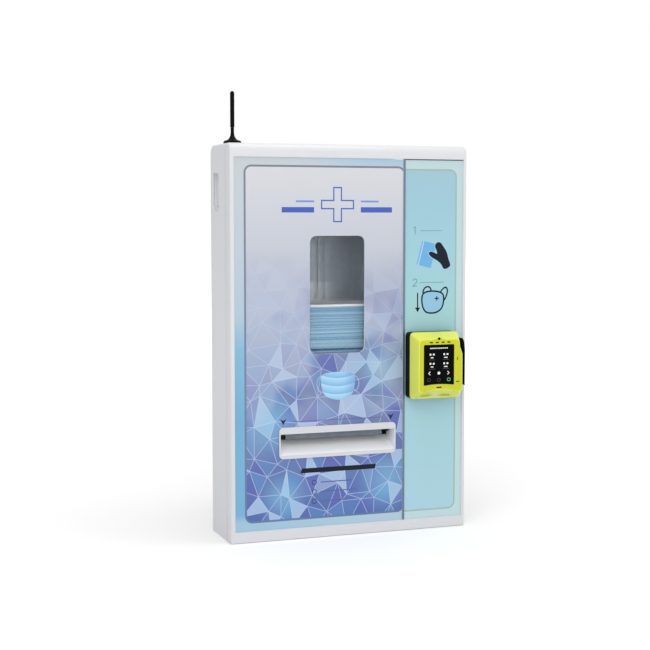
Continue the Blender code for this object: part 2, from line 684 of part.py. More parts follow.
def strip_panel(door, board, dark):
    """The right-hand panel with the reader's cut-out, and the joint strip beside it."""
    low = OPENING_Z0 - PANEL_END_LAP
    high = OPENING_Z1 + PANEL_END_LAP
    item = add("strip_panel", block(DIVIDER_X + DIVIDER_WEB / 2 + TOUCH_GAP, HALF_WIDTH - PANEL_SIDE_INSET,
                                    PANEL_FRONT_Y, PANEL_BACK_Y, low, high), board, origin=HINGE, parent=door)
    cut(item, block(*neck_sides(TOUCH_GAP), PANEL_FRONT_Y - OVERRUN, PANEL_BACK_Y + OVERRUN,
                    *neck_ends(TOUCH_GAP)))
    face = DIVIDER_WIDTH / 2
    back = DIVIDER_BACK / 2
    web = DIVIDER_WEB / 2
    front_y = PANEL_FRONT_Y - TOUCH_GAP
    back_y = PANEL_BACK_Y + TOUCH_GAP
    outline = [(-face, front_y - DIVIDER_FACE), (face, front_y - DIVIDER_FACE), (face, front_y), (web, front_y),
               (web, back_y), (back, back_y), (back, back_y + DIVIDER_WEB), (-back, back_y + DIVIDER_WEB),
               (-back, back_y), (-web, back_y), (-web, front_y), (-face, front_y)]
    add("panel_divider", prism('Z', [(DIVIDER_X + x, y) for x, y in outline], OPENING_Z0 + TOUCH_GAP,
                               OPENING_Z1 - TOUCH_GAP), dark, origin=HINGE, parent=door)


def outlet_outline(inset):
    left = OUTLET_X - OUTLET_WIDTH / 2 + inset
    right = OUTLET_X + OUTLET_WIDTH / 2 - inset
    return rounded(left, right, OUTLET_BOTTOM + inset, OUTLET_BOTTOM + OUTLET_HEIGHT - inset,
                   OUTLET_RADIUS - inset)


def outlet_floor_z(y):
    """The height of the tray's sloping floor at depth y."""
    return OUTLET_LIP_Z + OUTLET_SLOPE * (y - PANEL_FRONT_Y)


def outlet_bezel(door, plastic):
    """A moulded insert: a rim on the panel, a front band, and a deep tray whose floor slopes to a lip."""
    front = OUTLET_FRONT_Y
    ceiling = front + OUTLET_CEILING
    back = OUTLET_BACK_Y
    inset = OUTLET_LAP / 2
    left = OUTLET_X - OUTLET_WIDTH / 2 + OUTLET_RIM
    right = OUTLET_X + OUTLET_WIDTH / 2 - OUTLET_RIM
    side = OUTLET_RIM - inset - TOUCH_GAP
    item = add("outlet_bezel", prism('Y', outlet_outline(0), front, front + OUTLET_PROUD), plastic,
               origin=HINGE, parent=door)
    join(item, prism('Y', outlet_outline(inset), front + OUTLET_PROUD / 2, ceiling))
    start = ceiling - OUTLET_WALL
    tail = [(start, outlet_floor_z(start) - OUTLET_WALL), (back, OUTLET_SILL_Z - OUTLET_WALL),
            (back, OUTLET_SILL_Z + OUTLET_SIDE), (start, OUTLET_BAND_Z)]
    join(item, prism('X', tail, left - side, right + side))
    hollow = [(front - OVERRUN, OUTLET_LIP_Z), (PANEL_FRONT_Y, OUTLET_LIP_Z),
              (back, OUTLET_SILL_Z), (back + OVERRUN, OUTLET_SILL_Z),
              (back + OVERRUN, OUTLET_BAND_Z), (front - OVERRUN, OUTLET_BAND_Z)]
    cut(item, prism('X', hollow, left, right))
    low = OUTLET_BOTTOM + inset + OUTLET_WALL
    end_y = ceiling + OVERRUN
    under = [(PANEL_FRONT_Y, OUTLET_LIP_Z - OUTLET_WALL), (end_y, outlet_floor_z(end_y) - OUTLET_WALL),
             (end_y, low), (PANEL_FRONT_Y, low)]
    cut(item, prism('X', under, left, right))
    cut(item, block(left, right, front + OUTLET_WALL, ceiling + OVERRUN, OUTLET_BAND_Z + OUTLET_WALL,
                    OUTLET_BOTTOM + OUTLET_HEIGHT - inset - OUTLET_WALL))


def neck_sides(grow):
    return READER_X - READER_NECK_WIDTH / 2 - grow, READER_X + READER_NECK_WIDTH / 2 + grow


def neck_ends(grow):
    return READER_Z - READER_NECK_HEIGHT / 2 - grow, READER_Z + READER_NECK_HEIGHT / 2 + grow


def ease(value):
    value = min(max(value, 0), 1)
    return value * value * (3 - 2 * value)


def reader_edge_x(z, side):
    """The reader's right-hand edge: full width low down, drawn in above the swipe guide's foot."""
    drawn = ease((z - READER_DRAW_LOW) / (READER_DRAW_HIGH - READER_DRAW_LOW))
    return READER_X + READER_WIDTH / 2 - side - READER_BULGE * drawn


def reader_ring(y, side, top, bottom, arch=0, bump=0, corner=READER_CORNER):
    """The reader's outline at depth y: round corners, an arched foot and a small peak over the lens."""
    x0 = READER_X - READER_WIDTH / 2 + side
    z0 = READER_Z - READER_HEIGHT / 2 + bottom
    z1 = READER_Z + READER_HEIGHT / 2 - top
    span = [step / READER_STEPS for step in range(1, READER_STEPS)]
    right_low = reader_edge_x(z0, side)
    right_high = reader_edge_x(z1, side)
    points = arc((right_low - corner, z0 + corner), corner, -90, 0, SIDE_STEPS)
    for share in span:
        z = z0 + corner + share * (z1 - z0 - 2 * corner)
        points.append((reader_edge_x(z, side), z))
    points += arc((right_high - corner, z1 - corner), corner, 0, 90, SIDE_STEPS)
    for share in span:
        x = right_high - corner - share * (right_high - x0 - 2 * corner)
        points.append((x, z1 + bump * math.exp(-((x - SCREEN_X) / READER_PEAK_WIDTH) ** 2)))
    points += arc((x0 + corner, z1 - corner), corner, 90, 180, SIDE_STEPS)
    for share in span:
        points.append((x0, z1 - corner - share * (z1 - z0 - 2 * corner)))
    points += arc((x0 + corner, z0 + corner), corner, 180, 270, SIDE_STEPS)
    for share in span:
        x = x0 + corner + share * (right_low - x0 - 2 * corner)
        points.append((x, z0 + arch * (1 - (2 * share - 1) ** 2)))
    return [Vector((x, y, z)) for x, z in points]


def screen_outline(inset):
    """The screen's outline: square shoulders and a bottom edge that rises in the middle."""
    x0 = SCREEN_X - SCREEN_WIDTH / 2 + inset
    x1 = SCREEN_X + SCREEN_WIDTH / 2 - inset
    z0 = SCREEN_BOTTOM + inset
    z1 = SCREEN_BOTTOM + SCREEN_HEIGHT - inset
    foot = [(x0 + SCREEN_RADIUS + step / ARC_STEPS * (x1 - x0 - 2 * SCREEN_RADIUS),
             z0 + SCREEN_ARCH * (1 - (2 * step / ARC_STEPS - 1) ** 2)) for step in range(1, ARC_STEPS)]
    return (foot + arc((x1 - SCREEN_RADIUS, z0 + SCREEN_RADIUS), SCREEN_RADIUS, -90, 0, SIDE_STEPS)
            + arc((x1 - SCREEN_RADIUS, z1 - SCREEN_RADIUS), SCREEN_RADIUS, 0, 90, SIDE_STEPS)
            + arc((x0 + SCREEN_RADIUS, z1 - SCREEN_RADIUS), SCREEN_RADIUS, 90, 180, SIDE_STEPS)
            + arc((x0 + SCREEN_RADIUS, z0 + SCREEN_RADIUS), SCREEN_RADIUS, 180, 270, SIDE_STEPS))


def bevel_z(y, base, face):
    """The height of the fascia's lower bevel at depth y, near the ends of the card mouth."""
    share = (base - READER_EDGE - y) / (base - face - 2 * READER_EDGE)
    return READER_Z - READER_HEIGHT / 2 + share * (READER_BOTTOM_TAPER + READER_ARCH * MOUTH_ARCH_SHARE)


def card_reader(door, black, yellow, screen_black, pale):
    """Black housing through the strip panel, and a lofted yellow fascia with what sits in it."""
    seat = PANEL_FRONT_Y - TOUCH_GAP
    base = seat - READER_BASE_DEPTH
    face = seat - READER_DEPTH
    side = READER_HOUSING_STEP
    housing = add("reader_housing",
                  loft([reader_ring(seat, side, side, side),
                        reader_ring(base + TOUCH_GAP + side, side, side, side),
                        reader_ring(base + TOUCH_GAP, 2 * side, 2 * side, 2 * side)]),
                  black, origin=HINGE, parent=door)
    join(housing, block(*neck_sides(0), seat - READER_EDGE, PANEL_BACK_Y + READER_NECK_BACK, *neck_ends(0)))
    edge = READER_EDGE

    def front_ring(y, grow):
        return reader_ring(y, READER_SIDE_TAPER + grow, READER_TOP_TAPER + grow, READER_BOTTOM_TAPER + grow,
                           READER_ARCH, READER_BUMP)

    fascia = add("reader_fascia",
                 loft([reader_ring(base, edge / 2, edge / 2, edge / 2),
                       reader_ring(base - edge / 2, 0, 0, 0),
                       reader_ring(base - edge, 0, 0, 0),
                       front_ring(face + edge, 0),
                       front_ring(face + edge * READER_EDGE_DEPTH_SHARE, edge * READER_EDGE_INSET_SHARE),
                       front_ring(face, edge)]),
                 yellow, origin=HINGE, parent=door, smooth=25)
    floor = face + SCREEN_RECESS + SCREEN_THICKNESS
    cut(fascia, prism('Y', screen_outline(0), face - OVERRUN, floor + TOUCH_GAP),
        rod(bore_radius(LENS_RADIUS, TOUCH_GAP, FINE_STEPS), -OVERRUN, LENS_DEPTH + TOUCH_GAP,
            (SCREEN_X, face, LENS_Z), 'Y', FINE_STEPS))
    mouth_y = (base + face) / 2
    half = MOUTH_WIDTH / 2
    top = READER_Z - READER_HEIGHT / 2 + MOUTH_DEPTH
    cut(fascia, block(SCREEN_X - half - TOUCH_GAP, SCREEN_X + half + TOUCH_GAP, mouth_y - TOUCH_GAP,
                      mouth_y + MOUTH_HEIGHT + TOUCH_GAP, top - MOUTH_DEPTH - OVERRUN, top + TOUCH_GAP))
    near_z = bevel_z(mouth_y, base, face)
    far_z = bevel_z(mouth_y + MOUTH_HEIGHT, base, face)
    mouth = add("card_mouth", prism('X', [(mouth_y, near_z), (mouth_y + MOUTH_HEIGHT, far_z),
                                          (mouth_y + MOUTH_HEIGHT, top), (mouth_y, top)],
                                    SCREEN_X - half, SCREEN_X + half), pale, origin=HINGE, parent=door)
    cut(mouth, block(SCREEN_X - half + MOUTH_WALL, SCREEN_X + half - MOUTH_WALL, mouth_y + MOUTH_WALL,
                     mouth_y + MOUTH_HEIGHT - MOUTH_WALL, far_z - OVERRUN, top - MOUTH_WALL))
    add("reader_screen", prism('Y', screen_outline(TOUCH_GAP), face + SCREEN_RECESS, floor), screen_black,
        origin=HINGE, parent=door)
    add("reader_lens", rod(LENS_RADIUS, 0, LENS_DEPTH, (SCREEN_X, face, LENS_Z), 'Y', FINE_STEPS), screen_black,
        origin=HINGE, parent=door)
    swipe_guide(door, black, base)


def swipe_guide(door, black, base):
    """The rail of the swipe slot: it fills the step in the fascia's right side and thins out below."""
    outer = READER_X + READER_WIDTH / 2 + SWIPE_PROUD
    inner = []
    for step in range(READER_STEPS + 1):
        z = SWIPE_BOTTOM + (SWIPE_TOP - SWIPE_BOTTOM) * step / READER_STEPS
        inner.append((reader_edge_x(z, 0) + TOUCH_GAP, z))
    inner.reverse()
    width = outer - inner[0][0]
    crown = [(inner[0][0] + x * width, SWIPE_TOP - SWIPE_CROWN + z * SWIPE_CROWN)
             for x, z in arc((0, 0), 1, 0, 90)]
    add("swipe_guide", prism('Y', [(outer, SWIPE_BOTTOM)] + crown[:-1] + inner, base - SWIPE_DEPTH,
                             base - TOUCH_GAP), black, origin=HINGE, parent=door)


def cam_lock(cam_axis, door, steel, brass):
    """Barrel in the right side, a plug with a blade that turns up behind the door's catch."""
    place = (HALF_WIDTH, LOCK_Y, LOCK_Z)
    bore = bore_radius(LOCK_PLUG_RADIUS, RUN_FIT, ROUND_STEPS)
    add("lock_barrel", turned([(LOCK_RADIUS, -LOCK_LENGTH), (LOCK_RADIUS, TOUCH_GAP),
                               (LOCK_COLLAR_RADIUS, TOUCH_GAP), (LOCK_COLLAR_RADIUS, LOCK_COLLAR),
                               (bore, LOCK_COLLAR), (bore, -LOCK_LENGTH)], place), steel, origin=place)
    blade_x1 = LOCK.x - CATCH_GAP
    blade_x0 = blade_x1 - CAM_THICKNESS
    plug = add("lock_cam", rod(LOCK_PLUG_RADIUS, blade_x0 - HALF_WIDTH, LOCK_COLLAR, place), brass,
               origin=LOCK, parent=cam_axis)
    eye = arc((LOCK_Y, LOCK_Z), LOCK_PLUG_RADIUS + CAM_THICKNESS / 2, -CAM_EYE_TURN, CAM_EYE_TURN)
    root_y = LOCK_Y - LOCK_PLUG_RADIUS
    tip_y = LOCK_Y - CAM_LENGTH
    tongue = [(root_y, LOCK_Z + CAM_HALF_WIDTH), (tip_y, LOCK_Z + CAM_HALF_WIDTH),
              (tip_y, LOCK_Z - CAM_HALF_WIDTH), (root_y, LOCK_Z - CAM_HALF_WIDTH)]
    join(plug, prism('X', eye + tongue, blade_x0, blade_x1))
    cut(plug, block(HALF_WIDTH + LOCK_COLLAR - KEYWAY_DEPTH, HALF_WIDTH + LOCK_COLLAR + OVERRUN,
                    LOCK_Y - KEYWAY_WIDTH / 2, LOCK_Y + KEYWAY_WIDTH / 2,
                    LOCK_Z - KEYWAY_HEIGHT / 2, LOCK_Z + KEYWAY_HEIGHT / 2))
    wall = INNER_X - TOUCH_GAP
    thick = CATCH_THICKNESS
    bend_y = DOOR_RIM_Y - thick
    base_y = bend_y - CATCH_BASE_DEPTH
    side = LOCK.x + CATCH_SIDE
    ear_y = LOCK_Y + CAM_HALF_WIDTH + CATCH_GAP
    outline = [(wall - thick, base_y), (wall, base_y), (wall, bend_y), (side, bend_y), (side, ear_y + thick),
               (side - CATCH_EAR, ear_y + thick), (side - CATCH_EAR, ear_y), (side - thick, ear_y),
               (side - thick, bend_y - thick), (wall - thick, bend_y - thick)]
    low = LOCK_Z + LOCK_RADIUS + CATCH_LIFT
    add("door_catch", prism('Z', outline, low, low + CATCH_HEIGHT), steel, origin=HINGE, parent=door)


def aerial(black):
    """A magnetic foot with a hollow-sided cone, and the sleeve that stands on its neck."""
    top = CABINET_HEIGHT + TOUCH_GAP
    foot = AERIAL_FOOT_HEIGHT
    neck = foot + AERIAL_CONE_HEIGHT
    round_off = AERIAL_FOOT_CHAMFER
    profile = [(0, 0), (AERIAL_FOOT_RADIUS - round_off, 0), (AERIAL_FOOT_RADIUS, round_off),
               (AERIAL_FOOT_RADIUS, foot - 2 * round_off), (AERIAL_FOOT_RADIUS - round_off, foot)]
    reach = AERIAL_FOOT_RADIUS - 2 * round_off - AERIAL_NECK_RADIUS
    for step in range(ARC_STEPS + 1):
        turn = math.radians(90 * step / ARC_STEPS)
        profile.append((AERIAL_NECK_RADIUS + reach * (1 - math.sin(turn)),
                        foot + AERIAL_CONE_HEIGHT * (1 - math.cos(turn)) + round_off / 2))
    end = neck + AERIAL_NECK_HEIGHT
    profile += [(AERIAL_NECK_RADIUS, end), (0, end)]
    place = (AERIAL_X, AERIAL_Y, top)
    add("aerial_foot", turned(profile, place, 'Z'), black, origin=place)
    radius = AERIAL_SLEEVE_RADIUS
    crown = [(radius * math.cos(turn), AERIAL_HEIGHT - radius + radius * math.sin(turn))
             for turn in (math.radians(90 * step / ARC_STEPS) for step in range(ARC_STEPS))]
    add("aerial_sleeve", turned([(0, end + TOUCH_GAP), (radius - AERIAL_SLEEVE_CHAMFER, end + TOUCH_GAP),
                                 (radius, end + TOUCH_GAP + AERIAL_SLEEVE_CHAMFER)]
                                + crown + [(0, AERIAL_HEIGHT)], place, 'Z', FINE_STEPS), black, origin=place)


def hopper(steel):
    """Slotted back, two walls with front lips, and a slotted floor."""
    x0 = HOPPER_X0 - HOPPER_SHEET
    x1 = HOPPER_X1 + HOPPER_SHEET
    back_y = HOPPER_BACK + TOUCH_GAP
    seat_y = REAR_Y - SHEET - TOUCH_GAP
    seat_front = seat_y - HOPPER_SHEET
    web_back = back_y + HOPPER_SHEET
    hat = [(x0 - HOPPER_FLANGE, seat_y), (x0 - HOPPER_FLANGE, seat_front), (x0, seat_front), (x0, back_y),
           (x1, back_y), (x1, seat_front), (x1 + HOPPER_FLANGE, seat_front), (x1 + HOPPER_FLANGE, seat_y),
           (x1 - HOPPER_SHEET, seat_y), (x1 - HOPPER_SHEET, web_back), (x0 + HOPPER_SHEET, web_back),
           (x0 + HOPPER_SHEET, seat_y)]
    hat_bottom = FLOOR_TOP + CHEEK_LAP + HOPPER_FLANGE
    back = add("hopper_back", prism('Z', hat, hat_bottom, HOPPER_TOP), steel,
               origin=(HOPPER_X, back_y, FLOOR_TOP))
    join(back, block(x0, x1, back_y, back_y + HOPPER_SHEET, FLOOR_TOP - HOPPER_SHEET,
                     hat_bottom + HOPPER_SHEET))
    slot = FOLLOWER_TONGUE / 2 + FOLLOWER_SLOT_GAP
    cut(back, prism('Y', rounded(HOPPER_X - slot, HOPPER_X + slot, FLOOR_TOP + FOLLOWER_STOP,
                                 HOPPER_TOP - FOLLOWER_STOP, slot - TOUCH_GAP, SIDE_STEPS),
                    back_y - OVERRUN, back_y + OVERRUN))
    for name, wall_x, direction in (("hopper_left_wall", HOPPER_X0, -1), ("hopper_right_wall", HOPPER_X1, 1)):
        out = wall_x + direction * HOPPER_SHEET
        lip = wall_x - direction * HOPPER_LIP
        front = HOPPER_FRONT - HOPPER_SHEET
        outline = [(wall_x, HOPPER_BACK), (out, HOPPER_BACK), (out, front), (lip, front),
                   (lip, HOPPER_FRONT), (wall_x, HOPPER_FRONT)]
        wall = add(name, prism('Z', outline, FLOOR_TOP - HOPPER_SHEET, HOPPER_TOP), steel,
                   origin=(wall_x, HOPPER_FRONT, FLOOR_TOP))
        cut(wall, block(*sorted((wall_x, lip - direction * OVERRUN)), front - OVERRUN,
                        HOPPER_FRONT + TOUCH_GAP, FLOOR_TOP - OVERRUN, FLOOR_TOP + GATE_HEIGHT))
    side = HOPPER_WIDTH / 2 - TOUCH_GAP
    floor_front = HOPPER_FRONT + FLOOR_FRONT
    channel = [(HOPPER_X - side, FLOOR_TOP), (HOPPER_X - side, FLOOR_TOP - FLOOR_FLANGE),
               (HOPPER_X - side + HOPPER_SHEET, FLOOR_TOP - FLOOR_FLANGE),
               (HOPPER_X - side + HOPPER_SHEET, FLOOR_TOP - HOPPER_SHEET),
               (HOPPER_X + side - HOPPER_SHEET, FLOOR_TOP - HOPPER_SHEET),
               (HOPPER_X + side - HOPPER_SHEET, FLOOR_TOP - FLOOR_FLANGE),
               (HOPPER_X + side, FLOOR_TOP - FLOOR_FLANGE), (HOPPER_X + side, FLOOR_TOP)]
    floor = add("hopper_floor", prism('Y', channel, floor_front, HOPPER_BACK), steel,
                origin=(HOPPER_X, floor_front, FLOOR_TOP))
    chord = math.sqrt(FEED_ROLLER_RADIUS ** 2 - (FEED_ROLLER_RADIUS - HOPPER_SHEET - TOUCH_GAP) ** 2)
    half_y = chord + GEAR_GAP
    half_x = FEED_ROLLER_WIDTH / 2 + GEAR_GAP
    for x in roller_places():
        cut(floor, prism('Z', rounded(x - half_x, x + half_x, FEED_Y - half_y, FEED_Y + half_y,
                                      GEAR_GAP, SIDE_STEPS), FLOOR_TOP - OVERRUN, FLOOR_TOP + OVERRUN))


def roller_places():
    return HOPPER_X - FEED_ROLLER_SPREAD / 2, HOPPER_X + FEED_ROLLER_SPREAD / 2


def packet_stack(paper):
    """Flat wrapped packets: each a thin slice, full width at its middle and drawn in at its edges."""
    centre_y = (HOPPER_FRONT + HOPPER_BACK) / 2
    rings = []

    def ring(z, inset):
        return [Vector((x, y, z)) for x, y in rounded(
            HOPPER_X - PACKET_WIDTH / 2 + inset, HOPPER_X + PACKET_WIDTH / 2 - inset,
            centre_y - PACKET_DEPTH / 2 + inset, centre_y + PACKET_DEPTH / 2 - inset, PACKET_CORNER, 1)]

    for number in range(PACKET_COUNT):
        low = STACK_BOTTOM + number * PACKET_PITCH
        rings.append(ring(low, PACKET_EDGE))
        rings.append(ring(low + PACKET_PITCH / 2, 0))
    rings.append(ring(STACK_TOP, PACKET_EDGE))
    add("mask_stack", loft(rings), paper, origin=(HOPPER_X, centre_y, STACK_BOTTOM), smooth=50)


def follower(slide, white, nylon):
    """The weight on the stack: a dished plate with a tongue through the back slot, and its slider."""
    low = STACK_TOP + TOUCH_GAP
    x0 = HOPPER_X0 + FOLLOWER_MARGIN
    x1 = HOPPER_X1 - FOLLOWER_MARGIN
    y0 = HOPPER_FRONT + FOLLOWER_MARGIN
    y1 = HOPPER_BACK - FOLLOWER_MARGIN
    thick = FOLLOWER_THICKNESS
    plate = add("follower_plate", prism('Z', rounded(x0, x1, y0, y1, PACKET_CORNER, SIDE_STEPS), low,
                                        low + FOLLOWER_RIM), white, origin=slide.location, parent=slide)
    cut(plate, prism('Z', rounded(x0 + thick, x1 - thick, y0 + thick, y1 - thick, PACKET_CORNER - thick,
                                  SIDE_STEPS), low + thick, low + OVERRUN + FOLLOWER_RIM))
    back_y = HOPPER_BACK + TOUCH_GAP + HOPPER_SHEET
    tongue_end = back_y + FOLLOWER_SLOT_GAP + SLIDER_THICKNESS
    join(plate, block(HOPPER_X - FOLLOWER_TONGUE / 2, HOPPER_X + FOLLOWER_TONGUE / 2, y1 - thick / 2,
                      tongue_end, low, low + thick))
    slider = add("follower_slider",
                 prism('Y', rounded(HOPPER_X - SLIDER_WIDTH / 2, HOPPER_X + SLIDER_WIDTH / 2,
                                    low + thick / 2 - SLIDER_HEIGHT / 2, low + thick / 2 + SLIDER_HEIGHT / 2,
                                    SLIDER_RADIUS, SIDE_STEPS),
                       back_y + FOLLOWER_SLOT_GAP, back_y + FOLLOWER_SLOT_GAP + SLIDER_THICKNESS),
                 nylon, origin=slide.location, parent=slide)
    cut(slider, block(HOPPER_X - FOLLOWER_TONGUE / 2 - PIN_FIT, HOPPER_X + FOLLOWER_TONGUE / 2 + PIN_FIT,
                      back_y - OVERRUN, back_y + OVERRUN, low - PIN_FIT, low + thick + PIN_FIT))


def involute(base, radius):
    """The angle by which an involute has turned from its root at a given radius."""
    if radius <= base:
        return 0
    turn = math.acos(base / radius)
    return math.tan(turn) - turn


def gear_outline(teeth, place, phase):
    """A spur gear's outline in the YZ plane, with one tooth centred at the angle phase."""
    pitch = pitch_radius(teeth)
    base = pitch * math.cos(PRESSURE_ANGLE)
    tip = pitch + GEAR_ADDENDUM
    root = pitch - GEAR_DEDENDUM
    half = math.pi / 2 / teeth - GEAR_BACKLASH / 2 / pitch + involute(base, pitch)
    start = max(base, root)
    flank = [start + (tip - start) * share for share in (0, 0.5, 1)]
    points = []
    for number in range(teeth):
        middle = phase + math.tau * number / teeth
        low_half = half - involute(base, start)
        points.append((root, middle - low_half))
        points += [(radius, middle - half + involute(base, radius)) for radius in flank[1:]]
        points += [(radius, middle + half - involute(base, radius)) for radius in reversed(flank[1:])]
        points.append((root, middle + low_half))
    return [(place[0] + radius * math.cos(turn), place[1] + radius * math.sin(turn)) for radius, turn in points]


def mesh_phase(teeth, place, other_teeth, other_place, other_phase):
    """The phase that puts a gear in mesh with one whose phase is known."""
    line = math.atan2(place[1] - other_place[1], place[0] - other_place[0])
    other_share = (line - other_phase) * other_teeth / math.tau
    return line + math.pi - (0.5 - other_share) * math.tau / teeth


def gear(name, parent, teeth, place, phase, bore, finish, hub=True):
    """A spur gear with a hub on its outer side and a bore for its shaft."""
    origin = (GEAR_X0, place[0], place[1])
    item = add(name, prism('X', gear_outline(teeth, place, phase), GEAR_X0, GEAR_X1), finish,
               origin=origin, parent=parent, smooth=25)
    if hub:
        join(item, rod(GEAR_HUB_RADIUS, GEAR_WIDTH - GEAR_GAP, GEAR_WIDTH + GEAR_HUB_LENGTH, origin))
    if bore:
        cut(item, rod(bore, -OVERRUN, OVERRUN + GEAR_WIDTH, origin))
    return item


def cheeks_and_bushes(steel, bronze):
    """Two plates beside the hopper that carry every shaft of the feed unit."""
    top = FLOOR_TOP + CHEEK_LAP
    step_z = OUTLET_BOTTOM + OUTLET_HEIGHT + CHEEK_STEP
    seat_y = REAR_Y - SHEET - TOUCH_GAP
    back_y = seat_y - CHEEK_THICKNESS / 2
    outline = [(back_y, CHEEK_BOTTOM), (back_y, top), (CHEEK_FRONT, top), (CHEEK_FRONT, step_z),
               (HOPPER_FRONT, step_z), (HOPPER_FRONT, CHEEK_BOTTOM)]
    for name, inner, direction in (("left", CHEEK_X0, -1), ("right", CHEEK_X1, 1)):
        outer = inner + direction * CHEEK_THICKNESS
        low, high = sorted((inner, outer))
        cheek = add("feed_cheek_" + name, prism('X', outline, low, high), steel,
                    origin=(low, FEED_Y, FEED_Z))
        flange_low, flange_high = sorted((inner, outer + direction * HOPPER_FLANGE))
        join(cheek, block(flange_low, flange_high, seat_y - CHEEK_THICKNESS, seat_y, CHEEK_BOTTOM, top))
        for label, place in (("feed", FEED), ("exit", EXIT)):
            centre = (outer, *place)
            cut(cheek, rod(bore_radius(BUSH_RADIUS, PIN_FIT, ROUND_STEPS), -OVERRUN, OVERRUN, centre))
            bore = bore_radius(SHAFT_RADIUS, RUN_FIT, ROUND_STEPS)
            seat = direction * TOUCH_GAP
            end = direction * (TOUCH_GAP + BUSH_FLANGE)
            add(label + "_bush_" + name,
                turned([(BUSH_RADIUS, -direction * CHEEK_THICKNESS), (BUSH_RADIUS, seat),
                        (BUSH_FLANGE_RADIUS, seat), (BUSH_FLANGE_RADIUS, end), (bore, end),
                        (bore, -direction * CHEEK_THICKNESS)], centre), bronze, origin=centre)
        cut(cheek, rod(bore_radius(PINCH_JOURNAL, RUN_FIT, ROUND_STEPS), -OVERRUN, OVERRUN, (outer, *PINCH)))
    stud_base = CHEEK_X1 + CHEEK_THICKNESS + TOUCH_GAP
    hub_end = GEAR_X1 + GEAR_HUB_LENGTH + TOUCH_GAP
    gear_face = GEAR_X0 - TOUCH_GAP
    profile = [(0, stud_base), (GEAR_HUB_RADIUS, stud_base), (GEAR_HUB_RADIUS, gear_face),
               (SHAFT_RADIUS, gear_face), (SHAFT_RADIUS, hub_end), (GEAR_HUB_RADIUS, hub_end),
               (GEAR_HUB_RADIUS, hub_end + BUSH_FLANGE), (0, hub_end + BUSH_FLANGE)]
    add("idler_stud", turned(profile, (0, *IDLER)), steel, origin=(stud_base, *IDLER))


def grooved(radius, start, end, bore):
    """A rubber tyre's profile: shallow grooves between round-edged ribs, and its bore."""
    rib = (end - start) / ROLLER_GROOVES
    profile = []
    for number in range(ROLLER_GROOVES):
        low = start + number * rib
        edge = rib * RIB_EDGE_SHARE
        profile += [(radius - ROLLER_GROOVE_DEPTH, low), (radius, low + edge), (radius, low + rib - edge)]
    profile += [(radius - ROLLER_GROOVE_DEPTH, end), (bore, end), (bore, start)]
    return profile


def feed_unit(axes, steel, rubber, nylon, brass):
    """Shafts, rollers and gears, each group on the empty that marks its axis."""
    shaft_low = CHEEK_X0 - CHEEK_THICKNESS - 2 * BUSH_FLANGE
    shaft_high = GEAR_X1 + GEAR_HUB_LENGTH + SHAFT_END
    grip = bore_radius(SHAFT_RADIUS, PIN_FIT, ROUND_STEPS)
    add("feed_shaft", rod(SHAFT_RADIUS, shaft_low, shaft_high, (0, *FEED)), steel,
        origin=(GEAR_X0, *FEED), parent=axes["feed"])
    for name, x in zip(("left", "right"), roller_places()):
        add("feed_roller_" + name, turned(grooved(FEED_ROLLER_RADIUS, x - FEED_ROLLER_WIDTH / 2,
                                                  x + FEED_ROLLER_WIDTH / 2, grip), (0, *FEED)), rubber,
            origin=(x, *FEED), parent=axes["feed"])
    add("exit_shaft", rod(SHAFT_RADIUS, shaft_low, shaft_high, (0, *EXIT)), steel,
        origin=(GEAR_X0, *EXIT), parent=axes["exit"])
    half = PACKET_WIDTH / 2 - FEED_ROLLER_RADIUS
    add("exit_roller", turned(grooved(EXIT_ROLLER_RADIUS, HOPPER_X - half, HOPPER_X + half, grip), (0, *EXIT)),
        rubber, origin=(HOPPER_X, *EXIT), parent=axes["exit"])
    wide = CHEEK_X1 - HOPPER_X - GEAR_GAP
    end = wide + GEAR_GAP + CHEEK_THICKNESS
    add("pinch_roller", turned([(0, -end), (PINCH_JOURNAL, -end), (PINCH_JOURNAL, -wide), (PINCH_RADIUS, -wide),
                                (PINCH_RADIUS, wide), (PINCH_JOURNAL, wide), (PINCH_JOURNAL, end), (0, end)],
                               (HOPPER_X, *PINCH)), nylon, origin=(HOPPER_X, *PINCH), parent=axes["pinch"])
    feed_phase = TRAIN_ANGLE
    gear("feed_gear", axes["feed"], FEED_TEETH, FEED, feed_phase, grip, nylon)
    idler_phase = mesh_phase(IDLER_TEETH, IDLER, FEED_TEETH, FEED, feed_phase)
    gear("idler_gear", axes["idler"], IDLER_TEETH, IDLER, idler_phase,
         bore_radius(SHAFT_RADIUS, RUN_FIT, ROUND_STEPS), nylon)
    gear("exit_gear", axes["exit"], EXIT_TEETH, EXIT,
         mesh_phase(EXIT_TEETH, EXIT, IDLER_TEETH, IDLER, idler_phase), grip, nylon)
    pinion = gear("motor_pinion", axes["pinion"], PINION_TEETH, PINION,
                  mesh_phase(PINION_TEETH, PINION, FEED_TEETH, FEED, feed_phase), 0, brass, hub=False)
    join(pinion, rod(PINCH_JOURNAL, GEAR_WIDTH / 2, motor_face() - GEAR_X0 + MOTOR_SHAFT_DEPTH,
                     (GEAR_X0, *PINION), 'X', FINE_STEPS))


def motor_face():
    """Where the gear motor's front face lies along X, outside its bracket."""
    return CHEEK_X1 + CHEEK_THICKNESS + MOTOR_BRACKET_X + CHEEK_THICKNESS + TOUCH_GAP


